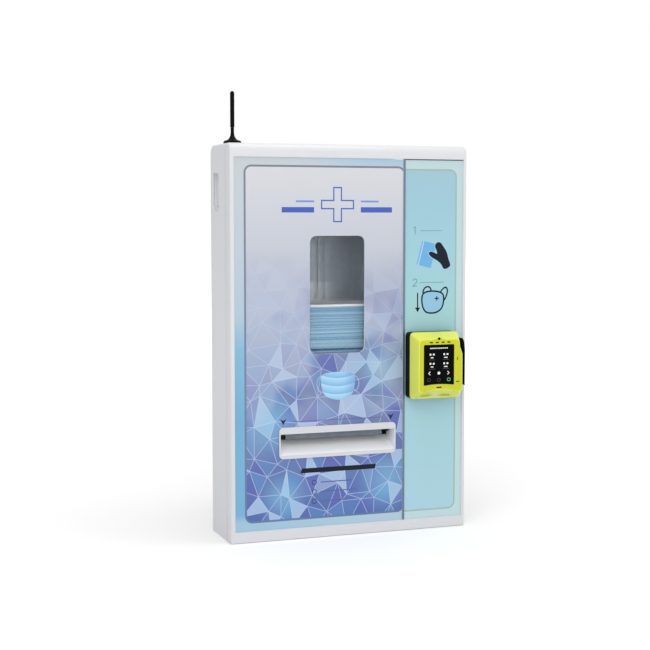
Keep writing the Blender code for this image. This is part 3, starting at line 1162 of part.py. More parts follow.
def motor(steel, dark):
    """A bent bracket on the right cheek and the gear motor screwed to it."""
    plate_x = CHEEK_X1 + CHEEK_THICKNESS + MOTOR_BRACKET_X
    cheek_x = CHEEK_X1 + CHEEK_THICKNESS + TOUCH_GAP
    thick = CHEEK_THICKNESS
    leg_y = PINION[0] + MOTOR_GEARBOX_RADIUS + GEAR_GAP
    end_y = HOPPER_BACK
    front_y = PINION[0] - MOTOR_GEARBOX_RADIUS
    outline = [(cheek_x, end_y), (cheek_x, leg_y), (plate_x, leg_y), (plate_x, front_y),
               (plate_x + thick, front_y), (plate_x + thick, leg_y + thick), (cheek_x + thick, leg_y + thick),
               (cheek_x + thick, end_y)]
    bracket = add("motor_bracket", prism('Z', outline, PINION[1] - MOTOR_GEARBOX_RADIUS - GEAR_GAP,
                                         PINION[1] + MOTOR_GEARBOX_RADIUS + GEAR_GAP), steel,
                  origin=(plate_x, *PINION))
    cut(bracket, rod(bore_radius(MOTOR_BOSS_RADIUS, TOUCH_GAP, ROUND_STEPS), -OVERRUN, OVERRUN,
                     (plate_x, *PINION)))
    face = motor_face()
    body = MOTOR_GEARBOX_LENGTH
    can = body + MOTOR_CAN_LENGTH
    item = add("gear_motor",
               turned([(0, -thick), (MOTOR_BOSS_RADIUS, -thick), (MOTOR_BOSS_RADIUS, 0),
                       (MOTOR_GEARBOX_RADIUS, 0), (MOTOR_GEARBOX_RADIUS, body), (MOTOR_CAN_RADIUS, body),
                       (MOTOR_CAN_RADIUS, can - GEAR_GAP), (MOTOR_CAN_RADIUS - GEAR_GAP, can),
                       (MOTOR_BOSS_RADIUS, can), (MOTOR_BOSS_RADIUS, can + thick), (0, can + thick)],
                      (face, *PINION)), dark, origin=(face, *PINION))
    cut(item, rod(bore_radius(PINCH_JOURNAL, RUN_FIT, FINE_STEPS), -OVERRUN, MOTOR_SHAFT_DEPTH + TOUCH_GAP,
                  (face, *PINION), 'X', FINE_STEPS))


def band(points, thickness):
    """A sheet's outline from its centre line: the line offset to both sides."""
    left, right = [], []
    for index, point in enumerate(points):
        before = Vector(points[max(index - 1, 0)])
        after = Vector(points[min(index + 1, len(points) - 1)])
        along = (after - before).normalized()
        off = Vector((-along.y, along.x)) * thickness / 2
        left.append(tuple(Vector(point) + off))
        right.append(tuple(Vector(point) - off))
    return left + right[::-1]


def guides(steel):
    """The plate that turns a packet down into the nip, and the curved chute under the rollers."""
    x0 = CHEEK_X0 + TOUCH_GAP
    x1 = CHEEK_X1 - TOUCH_GAP
    front = CHEEK_FRONT + GUIDE_SHEET
    nip_top = PINCH[1] + PINCH_RADIUS + GUIDE_SHEET + TOUCH_GAP
    bend = (FLOOR_TOP + nip_top) / 2
    line = [(front, FLOOR_TOP + CHEEK_LAP - GUIDE_SHEET), (front, bend), (PINCH[0] + GUIDE_SHEET, nip_top)]
    add("front_guide", prism('X', band(line, GUIDE_SHEET), x0, x1), steel, origin=(HOPPER_X, front, bend))
    start_y = EXIT[0] - CHUTE_SETBACK
    start_z = EXIT[1] - CHUTE_DROP
    drop = start_z - OUTLET_SILL_Z - OUTLET_SIDE
    turn = 2 * math.atan(CHUTE_RUN / drop)
    radius = drop / math.sin(turn)
    line = arc((start_y - radius, start_z), radius, 0, -math.degrees(turn), 2 * ARC_STEPS)
    add("chute", prism('X', band(line, GUIDE_SHEET), x0, x1), steel, origin=(HOPPER_X, start_y, start_z))


def electronics(board_green, case_steel):
    """The control board on its standoffs and the power supply, both on the rear cover."""
    wall = REAR_Y - SHEET - TOUCH_GAP
    back = wall - BOARD_STANDOFF
    front = back - BOARD_THICKNESS
    x0 = BOARD_LEFT
    z0 = BOARD_BOTTOM
    item = add("control_board", block(x0, x0 + BOARD_WIDTH, front, back, z0, z0 + BOARD_HEIGHT), board_green,
               origin=(x0, back, z0))
    inset = 2 * BOARD_STANDOFF_RADIUS
    for x in (x0 + inset, x0 + BOARD_WIDTH - inset):
        for z in (z0 + inset, z0 + BOARD_HEIGHT - inset):
            join(item, rod(BOARD_STANDOFF_RADIUS, -BOARD_THICKNESS / 2, BOARD_STANDOFF, (x, back, z), 'Y',
                           PEG_STEPS))
    for left, low, wide, high, deep in BOARD_PART_SHARES:
        px = x0 + left * BOARD_WIDTH
        pz = z0 + low * BOARD_HEIGHT
        join(item, block(px, px + wide * BOARD_WIDTH, front - deep * BOARD_WIDTH, front + BOARD_THICKNESS / 2,
                         pz, pz + high * BOARD_HEIGHT))
    x1 = SUPPLY_LEFT + SUPPLY_WIDTH
    z1 = SUPPLY_BOTTOM + SUPPLY_HEIGHT
    supply = add("power_supply", block(SUPPLY_LEFT, x1, wall - SUPPLY_DEPTH, wall, SUPPLY_BOTTOM, z1),
                 case_steel, origin=(SUPPLY_LEFT, wall, SUPPLY_BOTTOM))
    ledge = SUPPLY_HEIGHT * SUPPLY_LEDGE_SHARE
    cut(supply, block(SUPPLY_LEFT + SHEET, x1 - SHEET, wall - SUPPLY_DEPTH - OVERRUN,
                      wall - SUPPLY_DEPTH * SUPPLY_LEDGE_DEPTH_SHARE, z1 - ledge, z1 + OVERRUN))


def build():
    clear_scene()
    white = material("powder_coated_steel", (0.72, 0.72, 0.74), 0.40)
    steel = material("zinc_plated_steel", (0.55, 0.56, 0.58), 0.35, 0.9)
    board = material("printed_board", (0.38, 0.56, 0.72), 0.25)
    teal = material("printed_teal_board", (0.45, 0.68, 0.72), 0.25)
    clear = material("clear_acrylic", (0.85, 0.90, 0.92), 0.05, 0.0, 0.25)
    dark = material("dark_aluminium", (0.12, 0.15, 0.21), 0.35, 0.6)
    bezel = material("white_abs", (0.74, 0.75, 0.78), 0.35)
    black = material("black_abs", (0.012, 0.012, 0.014), 0.45)
    yellow = material("yellow_abs", (0.60, 0.62, 0.03), 0.40)
    glass = material("black_glass", (0.005, 0.005, 0.007), 0.10)
    pale = material("grey_abs", (0.55, 0.57, 0.55), 0.45)
    brass = material("brass", (0.60, 0.44, 0.16), 0.35, 0.9)
    bronze = material("sintered_bronze", (0.45, 0.28, 0.13), 0.5, 0.8)
    rubber = material("grey_rubber", (0.08, 0.08, 0.085), 0.8)
    nylon = material("white_nylon", (0.78, 0.77, 0.72), 0.5)
    paper = material("wrapped_masks", (0.28, 0.47, 0.65), 0.6)
    green = material("circuit_board", (0.01, 0.16, 0.06), 0.45)
    case = material("galvanised_case", (0.50, 0.52, 0.53), 0.45, 0.8)

    door = axis_empty("door_hinge_axis", HINGE)
    cam = axis_empty("lock_cam_axis", LOCK)
    slide = axis_empty("follower_slide", Vector((HOPPER_X, HOPPER_BACK, STACK_TOP)))
    axes = {name: axis_empty(name + "_axis", Vector((GEAR_X0, *place)))
            for name, place in (("feed", FEED), ("idler", IDLER), ("exit", EXIT), ("pinch", PINCH),
                                ("pinion", PINION))}

    rear_cover(white)
    body_wrap(white)
    cable_port_cover(white)
    hinges(door, steel)
    door_frame(door, white)
    main_panel(door, board, clear)
    strip_panel(door, teal, dark)
    outlet_bezel(door, bezel)
    card_reader(door, black, yellow, glass, pale)
    cam_lock(cam, door, steel, brass)
    aerial(black)
    hopper(steel)
    packet_stack(paper)
    follower(slide, bezel, nylon)
    cheeks_and_bushes(steel, bronze)
    feed_unit(axes, steel, rubber, nylon, brass)
    motor(steel, case)
    guides(steel)
    electronics(green, case)
    for item in bpy.data.objects:
        if item.type == 'MESH' and not item.hide_render and item.modifiers:
            item.modifiers.new("even_shading", 'WEIGHTED_NORMAL').keep_sharp = True
    bpy.context.view_layer.update()


build()
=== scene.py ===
# %% [markdown]
# Face mask vending machine: the looks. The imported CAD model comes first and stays
# where it is: every finish and every extra piece below is placed against it.

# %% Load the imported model
import json
import math
import random

import bmesh
import bpy
from mathutils import Matrix, Vector
from mathutils.geometry import delaunay_2d_cdt


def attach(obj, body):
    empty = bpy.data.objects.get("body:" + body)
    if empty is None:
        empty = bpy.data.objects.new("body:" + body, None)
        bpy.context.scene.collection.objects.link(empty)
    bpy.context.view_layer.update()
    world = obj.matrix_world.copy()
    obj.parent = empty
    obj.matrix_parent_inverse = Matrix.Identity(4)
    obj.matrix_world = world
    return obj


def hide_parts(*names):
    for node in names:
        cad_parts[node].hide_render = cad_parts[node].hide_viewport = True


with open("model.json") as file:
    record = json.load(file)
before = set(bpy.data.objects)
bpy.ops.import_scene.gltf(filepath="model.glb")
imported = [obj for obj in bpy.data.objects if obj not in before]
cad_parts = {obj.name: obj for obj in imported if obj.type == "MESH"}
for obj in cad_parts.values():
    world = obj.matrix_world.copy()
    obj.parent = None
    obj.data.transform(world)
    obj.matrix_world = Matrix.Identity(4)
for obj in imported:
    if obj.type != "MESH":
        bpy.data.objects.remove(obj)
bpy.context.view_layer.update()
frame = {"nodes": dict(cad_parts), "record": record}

# %% [markdown]
# The photograph was matched by corners of the cabinet: a lens of 76.7 mm on
# a 36 mm sensor, seen from the left and a little above the middle of the door. A camera
# whose film isn't shifted only turns and tips, which is all that this view needs.

# %% Camera
CAMERA_PLACE = (-0.8846, -2.3628, 0.5744)
CAMERA_YAW = math.radians(19.93)
CAMERA_PITCH = math.radians(-4.51)

camera_data = bpy.data.cameras.new("camera")
camera_data.lens = 76.74
camera_data.sensor_width = 36
camera = bpy.data.objects.new("camera", camera_data)
camera.location = CAMERA_PLACE
camera.rotation_euler = (math.radians(90) + CAMERA_PITCH, 0, -CAMERA_YAW)
bpy.context.scene.collection.objects.link(camera)
bpy.context.scene.camera = camera
print("camera at", CAMERA_PLACE)

# %% [markdown]
# Paint charts give sRGB hex colours, but Blender's sockets take linear light. One
# function turns the first into the second, so every colour below reads as on a chart.
# Another adds a node. It is given the node's sockets by name or by number, each with a
# value, a hex colour or the output of another node, and it gives back the outputs.

# %% Colour and node helpers
def linear(code):
    """An sRGB hex colour as linear red, green, blue and full alpha."""
    values = [int(code[place:place + 2], 16) / 255 for place in (1, 3, 5)]
    return [v / 12.92 if v <= 0.04045 else ((v + 0.055) / 1.055) ** 2.4 for v in values] + [1.0]


def dimmed(code, share):
    """A hex colour with only a share of its light."""
    return [value * share for value in linear(code)[:3]] + [1.0]


def add_node(tree, kind, sockets=None, **settings):
    """Add a node with its settings, fill its sockets and give back its outputs."""
    item = tree.nodes.new("ShaderNode" + kind)
    for name, value in settings.items():
        setattr(item, name, value)
    for socket, value in (sockets or {}).items():
        if isinstance(value, bpy.types.NodeSocket):
            tree.links.new(value, item.inputs[socket])
        else:
            item.inputs[socket].default_value = linear(value) if isinstance(value, str) else value
    return item.outputs


def new_finish(name, colour, roughness, metallic=0.0, **shader_values):
    """A Principled finish with constant values, ready for patterns."""
    finish = bpy.data.materials.new(name)
    finish.use_nodes = True
    shader = finish.node_tree.nodes["Principled BSDF"]
    values = {"Base_Color": colour, "Roughness": roughness, "Metallic": metallic, **shader_values}
    for socket, value in values.items():
        socket = shader.inputs[socket.replace("_", " ")]
        socket.default_value = linear(value) if isinstance(value, str) else value
    return finish, finish.node_tree, shader


print("white chip in linear light", [round(value, 3) for value in linear("#dcdee3")])

# %% [markdown]
# Hardly any surface is quite even. Three effects return in most finishes: a fine relief,
# a gloss that changes from place to place, and a tint that grows where a pattern does.
# All patterns read Object coordinates, in metres, so they stay with a piece that moves.

# %% Effects that finishes share
def grain(tree, shader, place, size_mm, height_mm, strength, stretch=(1, 1, 1), detail=2.0):
    """A bump from noise whose grains are size_mm across, and the noise for other uses."""
    scaled = add_node(tree, "Mapping", {"Vector": place, "Scale": stretch})["Vector"]
    noise = add_node(tree, "TexNoise", {"Vector": scaled, "Scale": 1000 / size_mm, "Detail": detail})["Fac"]
    bump = add_node(tree, "Bump", {"Height": noise, "Distance": height_mm / 1000, "Strength": strength})
    tree.links.new(bump["Normal"], shader.inputs["Normal"])
    return noise


def uneven_gloss(tree, shader, pattern, low, high):
    """Let the middle values of a pattern move the roughness between two values."""
    spread = add_node(tree, "MapRange", {"Value": pattern, "From Min": 0.3, "From Max": 0.7,
                                         "To Min": low, "To Max": high})
    tree.links.new(spread["Result"], shader.inputs["Roughness"])


def tinted(tree, colour, pattern, start, end, tint, most=1.0, within=None, curve='SMOOTHSTEP'):
    """Lay a tint over a colour. Its share grows as the pattern goes from start to end."""
    share = add_node(tree, "MapRange", {"Value": pattern, "From Min": start, "From Max": end,
                                        "To Max": most}, interpolation_type=curve)["Result"]
    if within is not None:
        share = add_node(tree, "Math", {0: share, 1: within}, operation='MULTIPLY')["Value"]
    return add_node(tree, "Mix", {0: share, 6: colour, 7: tint}, data_type='RGBA')[2]


print("effects ready")

# %% [markdown]
# The door frame, the wrap and the rear cover are mild steel sheet with baked powder
# paint. The powder melts into very low waves a millimetre or two wide, the orange peel
# that breaks up a highlight, and its gloss changes a little from place to place.

# %% Powder-coated steel
POWDER = "#dadbdf"

powder_white, tree, shader = new_finish("powder_coated_steel_white", POWDER, 0.36, IOR=1.5)
place = add_node(tree, "TexCoord")["Object"]
peel = grain(tree, shader, place, size_mm=1.8, height_mm=0.05, strength=0.25, detail=1.0)
uneven_gloss(tree, shader, peel, 0.32, 0.42)
cloud = add_node(tree, "TexNoise", {"Vector": place, "Scale": 1000 / 180, "Detail": 3.0})["Fac"]
coat = add_node(tree, "Mix", {0: cloud, 6: POWDER, 7: dimmed(POWDER, 0.96)}, data_type='RGBA')[2]
tree.links.new(coat, shader.inputs["Base Color"])
print("made", powder_white.name)

# %% [markdown]
# Inside, the hopper, the cheeks and the brackets are cut from zinc-coated strip. Hot-dip
# galvanised sheet shows flat crystals, the spangle, each with its own dull shine. Turned
# or electroplated pieces are brighter and show only fine lines from the tool. Real tool
# lines lie about 0.1 mm apart. Here they are 0.5 or 0.8 mm apart, so that they show.

# %% Zinc finishes
def galvanised(name, colour):
    """Zinc-coated sheet with a spangle of crystals 9 mm across."""
    finish, tree, shader = new_finish(name, colour, 0.42, 0.85)
    place = add_node(tree, "TexCoord")["Object"]
    spangle = add_node(tree, "TexVoronoi", {"Vector": place, "Scale": 1000 / 9})["Color"]
    crystal = add_node(tree, "SeparateColor", {"Color": spangle})
    uneven_gloss(tree, shader, crystal["Red"], 0.36, 0.50)
    zinc = add_node(tree, "Mix", {0: crystal["Green"], 6: colour, 7: dimmed(colour, 0.86)},
                    data_type='RGBA')[2]
    tree.links.new(zinc, shader.inputs["Base Color"])
    bump = add_node(tree, "Bump", {"Height": crystal["Blue"], "Distance": 0.00003, "Strength": 0.4})
    tree.links.new(bump["Normal"], shader.inputs["Normal"])
    return finish


def turned_metal(name, colour, roughness, line_mm=0.5):
    """Metal with fine lines left by the tool."""
    finish, tree, shader = new_finish(name, colour, roughness, 1.0)
    place = add_node(tree, "TexCoord")["Object"]
    lines = grain(tree, shader, place, size_mm=line_mm, height_mm=0.02, strength=0.3,
                  stretch=(1, 0.08, 0.08))
    uneven_gloss(tree, shader, lines, roughness - 0.06, roughness + 0.08)
    return finish


galvanised_sheet = galvanised("galvanised_sheet", "#a9b1bb")
galvanised_case = galvanised("galvanised_case", "#b4b7b9")
plated_steel = turned_metal("zinc_plated_steel", "#b9bcc0", 0.30)
machined_brass = turned_metal("machined_brass", "#c7a55a", 0.28)
anodised_dark = turned_metal("anodised_dark_aluminium", "#6d7c8e", 0.42, line_mm=0.8)
print("made", galvanised_sheet.name, plated_steel.name, machined_brass.name, anodised_dark.name)

# %% [markdown]
# A sintered bronze bush is pressed powder: its face is full of tiny pores that hold oil,
# so it is duller and browner than cast bronze. The pores are drawn 0.6 mm apart, coarser
# than real ones, because nobody would see those.

# %% Sintered bronze
sintered_bronze, tree, shader = new_finish("sintered_bronze", "#a5794a", 0.5, 0.9)
place = add_node(tree, "TexCoord")["Object"]
pores = add_node(tree, "TexVoronoi", {"Vector": place, "Scale": 1000 / 0.6})["Distance"]
uneven_gloss(tree, shader, pores, 0.42, 0.62)
pits = add_node(tree, "Bump", {"Height": pores, "Distance": 0.00004, "Strength": 0.5})
tree.links.new(pits["Normal"], shader.inputs["Normal"])
print("made", sintered_bronze.name)

# %% [markdown]
# The plastic pieces are moulded ABS. The mould is spark-eroded, which leaves a fine even
# grain on the bezel and the black housing. The yellow fascia comes from a smoother mould.
# Its slopes and the inside of the outlet's tray get paler copies of their finishes: a
# painted highlight on the slopes, and painted light over the shade inside the tray. A
# real grain is 0.2 mm across. It is drawn about 1 mm across, so that it still breaks up the light at this
# distance.

# %% Moulded plastics and rubber
def moulded(name, colour, roughness, grain_mm, height_mm, **shader_values):
    """Plastic or rubber with the even grain of its mould."""
    finish, tree, shader = new_finish(name, colour, roughness, 0.0, **shader_values)
    place = add_node(tree, "TexCoord")["Object"]
    noise = grain(tree, shader, place, size_mm=grain_mm, height_mm=height_mm, strength=0.35)
    uneven_gloss(tree, shader, noise, roughness - 0.04, roughness + 0.06)
    return finish


white_abs = moulded("moulded_abs_white", "#e9ebef", 0.36, 0.9, 0.02, IOR=1.53)
bezel_abs = moulded("moulded_abs_pale_grey", "#d2d4d9", 0.36, 0.9, 0.02, IOR=1.53)
# Painted light: a whiter copy of the bezel's grey for the shaded inside of the tray.
tray_abs_painted_light = moulded("moulded_abs_tray_painted_light", "#f6f7fa", 0.30, 0.9, 0.01, IOR=1.53)
black_abs = moulded("moulded_abs_black", "#060708", 0.36, 0.8, 0.03, Specular_IOR_Level=0.05)
yellow_abs = moulded("moulded_abs_yellow", "#c9cd22", 0.34, 1.2, 0.02, Specular_IOR_Level=0.35)
# Painted highlight: a paler, glossier copy of the yellow for the fascia's slopes.
yellow_abs_painted_highlight = moulded("moulded_abs_yellow_painted_highlight", "#e0e75a", 0.30, 1.6, 0.01,
                              Specular_IOR_Level=0.55)
moulded_nylon = moulded("moulded_nylon", "#e6e3d8", 0.45, 1.0, 0.02, IOR=1.53)
grey_rubber = moulded("moulded_rubber", "#3b3c3e", 0.75, 0.7, 0.05, IOR=1.52)
motor_black = moulded("enamelled_motor_case", "#33363a", 0.38, 1.0, 0.02, IOR=1.5)
print("made", white_abs.name, black_abs.name, yellow_abs.name, grey_rubber.name)

# %% [markdown]
# The card mouth is the same yellow as the fascia, with a painted highlight that makes it
# paler in the middle.

# %% Card mouth with a painted highlight
MOUTH_YELLOW = "#b9be3a"
MOUTH_MIDDLE = 0.1500

mouth_abs = moulded("moulded_abs_yellow_mouth_highlight", MOUTH_YELLOW, 0.40, 1.2, 0.02, Specular_IOR_Level=0.35)
tree = mouth_abs.node_tree
across = add_node(tree, "SeparateXYZ", {"Vector": add_node(tree, "TexCoord")["Object"]})["X"]
offset = add_node(tree, "Math", {0: across, 1: MOUTH_MIDDLE}, operation='SUBTRACT')["Value"]
distance = add_node(tree, "Math", {0: offset}, operation='ABSOLUTE')["Value"]
# Painted highlight: the mouth's yellow pales toward its middle.
pale_painted_light = tinted(tree, MOUTH_YELLOW, distance, 0.014, 0.003, "#dcdfc6", curve='LINEAR')
tree.links.new(pale_painted_light, tree.nodes["Principled BSDF"].inputs["Base Color"])
print("made", mouth_abs.name)

# %% [markdown]
# The reader's screen is black glass with a few smears. The window's pane is clear cast
# acrylic: little but reflections, and a faint haze where it has been wiped.

# %% Glass and acrylic
screen_glass, tree, shader = new_finish("black_screen_glass", "#020203", 0.08, Specular_IOR_Level=0.05)
place = add_node(tree, "TexCoord")["Object"]
smears = add_node(tree, "TexNoise", {"Vector": place, "Scale": 1000 / 14, "Detail": 3.0})["Fac"]
uneven_gloss(tree, shader, smears, 0.06, 0.14)
clear_acrylic, tree, shader = new_finish("cast_acrylic_clear", "#f2f7f8", 0.03, IOR=1.49,
                                         Transmission_Weight=1.0, Alpha=0.35)
place = add_node(tree, "TexCoord")["Object"]
haze = add_node(tree, "TexNoise", {"Vector": place, "Scale": 1000 / 30, "Detail": 2.0})["Fac"]
uneven_gloss(tree, shader, haze, 0.02, 0.06)
print("made", screen_glass.name, clear_acrylic.name)

# %% [markdown]
# The control board is green solder mask over copper tracks. The tracks stand up a little
# under the lacquer, so they show as a slightly lighter green.

# %% Circuit board
LACQUER = "#17573a"

circuit_green, tree, shader = new_finish("circuit_board_green", LACQUER, 0.35, IOR=1.5)
place = add_node(tree, "TexCoord")["Object"]
upright = add_node(tree, "Mapping", {"Vector": place, "Rotation": (math.radians(90), 0, 0)})["Vector"]
tracks = add_node(tree, "TexBrick", {"Vector": upright, "Scale": 1000 / 16, "Mortar Size": 0.06, "Bias": 0.0,
                                     "Color1": LACQUER, "Color2": "#1c6042", "Mortar": "#2e7d53"})
tree.links.new(tracks["Color"], shader.inputs["Base Color"])
lift = add_node(tree, "Bump", {"Height": tracks["Fac"], "Distance": 0.00004, "Strength": 0.5})
tree.links.new(lift["Normal"], shader.inputs["Normal"])
print("made", circuit_green.name)

# %% [markdown]
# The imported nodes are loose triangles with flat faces. A copy whose corners are merged,
# whose flat areas are joined and whose edges have a tiny bevel catches the light as
# folded sheet and moulded plastic do. The copy stands for its node and rides with it.

# %% Dressed copies of the CAD nodes
node_body = {node: body for body, nodes in frame["record"]["behaviour"]["bodies"].items()
             for node in nodes}


def place_piece(name, shape, finishes, body, angle=30.0, smooth=True):
    """Turn a bmesh in world places into a piece that rides on a body."""
    mesh = bpy.data.meshes.new(name)
    shape.to_mesh(mesh)
    shape.free()
    for finish in finishes:
        mesh.materials.append(finish)
    if smooth:
        mesh.shade_smooth()
        mesh.set_sharp_from_angle(angle=math.radians(angle))
    piece = bpy.data.objects.new(name, mesh)
    bpy.context.scene.collection.objects.link(piece)
    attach(piece, body)
    return piece


def merged_copy(node):
    """A node's shape with its corners merged and its flat areas joined."""
    shape = bmesh.new()
    shape.from_mesh(frame["nodes"][node].data)
    bmesh.ops.remove_doubles(shape, verts=shape.verts, dist=0.000002)
    bmesh.ops.dissolve_limit(shape, angle_limit=math.radians(0.6), verts=shape.verts, edges=shape.edges)
    return shape


def bevelled(piece, width, segments, angle):
    """Round every edge sharper than the angle."""
    edge = piece.modifiers.new("rounded_edges", 'BEVEL')
    edge.width = width
    edge.segments = segments
    edge.limit_method = 'ANGLE'
    edge.angle_limit = math.radians(angle)
    edge.harden_normals = True
    edge.use_clamp_overlap = True


def dress(node, *finishes, edge=0.0, angle=30.0, segments=2):
    """Put a merged, bevelled copy with its finishes in the place of a node."""
    piece = place_piece(node + "_dressed", merged_copy(node), finishes, node_body[node], angle)
    if edge:
        bevelled(piece, edge, segments, angle)
    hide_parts(node)
    return piece


print(len(node_body), "nodes to dress")

# %% [markdown]
# The cabinet is three pressed pieces: the door frame, the wrap and the rear cover. Their
# folds already have a radius, so only the cut edges of the sheet get a fine bevel, as
# powder paint leaves on a deburred edge.

# %% Cabinet, hinges, lock
for node in ("door_frame", "body_wrap", "rear_cover"):
    dress(node, powder_white, edge=0.0006)
dress("cable_port_cover", powder_white, edge=0.0002)
for node in ("hinge_arm_lower", "hinge_arm_upper", "hinge_pin_lower", "hinge_pin_upper",
             "door_pivot_lower", "door_pivot_upper", "door_catch", "lock_barrel"):
    dress(node, plated_steel, edge=0.0002)
dress("lock_cam", machined_brass, edge=0.0002)
print("cabinet dressed")

# %% [markdown]
# Through the window the hopper's back shows, with a paler patch of painted light on the
# zinc above the stack. The patch is a product of fades along X and Z, so it needs no
# seam in the sheet. The chute behind the outlet has a darker zinc: painted shade for the shadow inside the
# outlet.

# %% Zinc sheet with painted light and painted shade
LIT_PATCH_SIDES = ((-0.080, -0.074), (0.004, -0.006))
LIT_PATCH_TOP = (0.4540, 0.4510)

# Painted light: a paler patch on the hopper's back above the stack.
back_sheet_painted_light = galvanised("galvanised_sheet_painted_light", "#a9b1bb")
tree = back_sheet_painted_light.node_tree
base = tree.nodes["Principled BSDF"].inputs["Base Color"]
spans = add_node(tree, "SeparateXYZ", {"Vector": add_node(tree, "TexCoord")["Object"]})
sides = [add_node(tree, "MapRange", {"Value": spans["X"], "From Min": start, "From Max": end})["Result"]
         for start, end in LIT_PATCH_SIDES]
between = add_node(tree, "Math", dict(enumerate(sides)), operation='MULTIPLY')["Value"]
pale_painted_light = tinted(tree, base.links[0].from_socket, spans["Z"], *LIT_PATCH_TOP, "#c9cfd6", within=between,
                curve='LINEAR')
tree.links.new(pale_painted_light, base)
# Painted shade: a darker zinc for the chute in the shade behind the outlet.
chute_sheet_painted_shade = galvanised("galvanised_sheet_painted_shade", "#7f8790")
print("made", back_sheet_painted_light.name, chute_sheet_painted_shade.name)

# %% [markdown]
# Behind the door, strip and sheet keep almost sharp edges, turned pieces have a small
# chamfer, and rollers and gears are rubber and nylon. Each gets the bevel that its
# making leaves.

# %% Hopper, feed unit, motor and electronics
dress("hopper_back", back_sheet_painted_light, edge=0.0001)
for node in ("hopper_left_wall", "hopper_right_wall", "hopper_floor", "feed_cheek_left",
             "feed_cheek_right", "front_guide", "motor_bracket"):
    dress(node, galvanised_sheet, edge=0.0001)
dress("chute", chute_sheet_painted_shade, edge=0.0001)
for node in ("feed_shaft", "exit_shaft", "idler_stud"):
    dress(node, plated_steel, edge=0.00025)
for node in ("feed_bush_left", "feed_bush_right", "exit_bush_left", "exit_bush_right"):
    dress(node, sintered_bronze, edge=0.0002)
for node in ("feed_gear", "idler_gear", "exit_gear"):
    dress(node, moulded_nylon, edge=0.0001, angle=25.0)
dress("motor_pinion", machined_brass, edge=0.0001, angle=25.0)
for node in ("feed_roller_left", "feed_roller_right", "exit_roller"):
    dress(node, grey_rubber, edge=0.0002)
dress("pinch_roller", moulded_nylon, edge=0.0002)
dress("gear_motor", motor_black, edge=0.0003)
dress("control_board", circuit_green, edge=0.0002)
dress("power_supply", galvanised_case, edge=0.0003)
dress("follower_plate", white_abs, edge=0.0003)
dress("follower_slider", moulded_nylon, edge=0.0003)
print("inside dressed")

# %% [markdown]
# Two mouldings carry two finishes each, chosen face by face. The outlet's faces that lie
# behind its rim get the whiter tray finish, painted light inside the shaded tray, and the
# fascia's faces that don't look straight forward get the paler finish, a painted highlight.

# %% Door trim, reader and aerial
RIM_DEPTH = 0.005
STRAIGHT_FORWARD = -0.97

dress("main_panel", white_abs)
dress("strip_panel", white_abs)
dress("window_pane", clear_acrylic, edge=0.0002)
dress("panel_divider", anodised_dark, edge=0.0003)
bezel = dress("outlet_bezel", bezel_abs, tray_abs_painted_light, edge=0.0006)
rim_back = min(corner.co.y for corner in bezel.data.vertices) + RIM_DEPTH
# Faces behind the rim take the tray's painted light.
for face in bezel.data.polygons:
    face.material_index = 1 if face.center.y > rim_back else 0
dress("reader_housing", black_abs, edge=0.0006)
fascia = dress("reader_fascia", yellow_abs, yellow_abs_painted_highlight, edge=0.0008, angle=24.0, segments=3)
# Faces that don't look straight forward take the painted highlight.
for face in fascia.data.polygons:
    face.material_index = 1 if face.normal.y > STRAIGHT_FORWARD else 0
dress("reader_screen", screen_glass, edge=0.0002)
dress("reader_lens", screen_glass, edge=0.0003)
dress("swipe_guide", black_abs, edge=0.0005)
dress("card_mouth", mouth_abs, edge=0.0003)
dress("aerial_foot", black_abs, edge=0.0003)
dress("aerial_sleeve", black_abs, edge=0.0002)
print("door trim dressed")

# %% [markdown]
# The front is a printed film under clear laminate, with a frame line near its edge and
# holes for the window and the outlet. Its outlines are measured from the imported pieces,
# so the film ends where the door's edge covers it and laps a little onto the divider.

# %% Outlines of the film
FILM_LIFT = 0.00004
FILM_END = 0.0053
FILM_LEFT = 0.0035
FILM_RIGHT = 0.0022
DIVIDER_LAP = 0.0047
OUTLET_LAP = 0.0012
FRAME_RADIUS = 0.0140
FRAME_LINE = 0.0036
STRIP_LINE = 0.0028


def box_of(node):
    """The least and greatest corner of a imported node, in world places."""
    item = frame["nodes"][node]
    places = [item.matrix_world @ vert.co for vert in item.data.vertices]
    return (Vector([min(place[axis] for place in places) for axis in range(3)]),
            Vector([max(place[axis] for place in places) for axis in range(3)]))


def ring_points(x0, x1, z0, z1, radius, steps=10):
    """A rectangle with round corners as (x, z) points."""
    corners = ((x1 - radius, z0 + radius, -90), (x1 - radius, z1 - radius, 0),
               (x0 + radius, z1 - radius, 90), (x0 + radius, z0 + radius, 180))
    return [Vector((x + radius * math.cos(math.radians(start + 90 * step / steps)),
                    z + radius * math.sin(math.radians(start + 90 * step / steps))))
            for x, z, start in corners for step in range(steps + 1)]


def frame_loops(film, line, width):
    """The film's edge and both edges of its frame line, as named loops."""
    inner = (line[0] + width, line[1] - width, line[2] + width, line[3] - width)
    return {"film": ring_points(*film, 0.0005, 2),
            "frame_outer": ring_points(*line, FRAME_RADIUS),
            "frame_inner": ring_points(*inner, FRAME_RADIUS - width)}


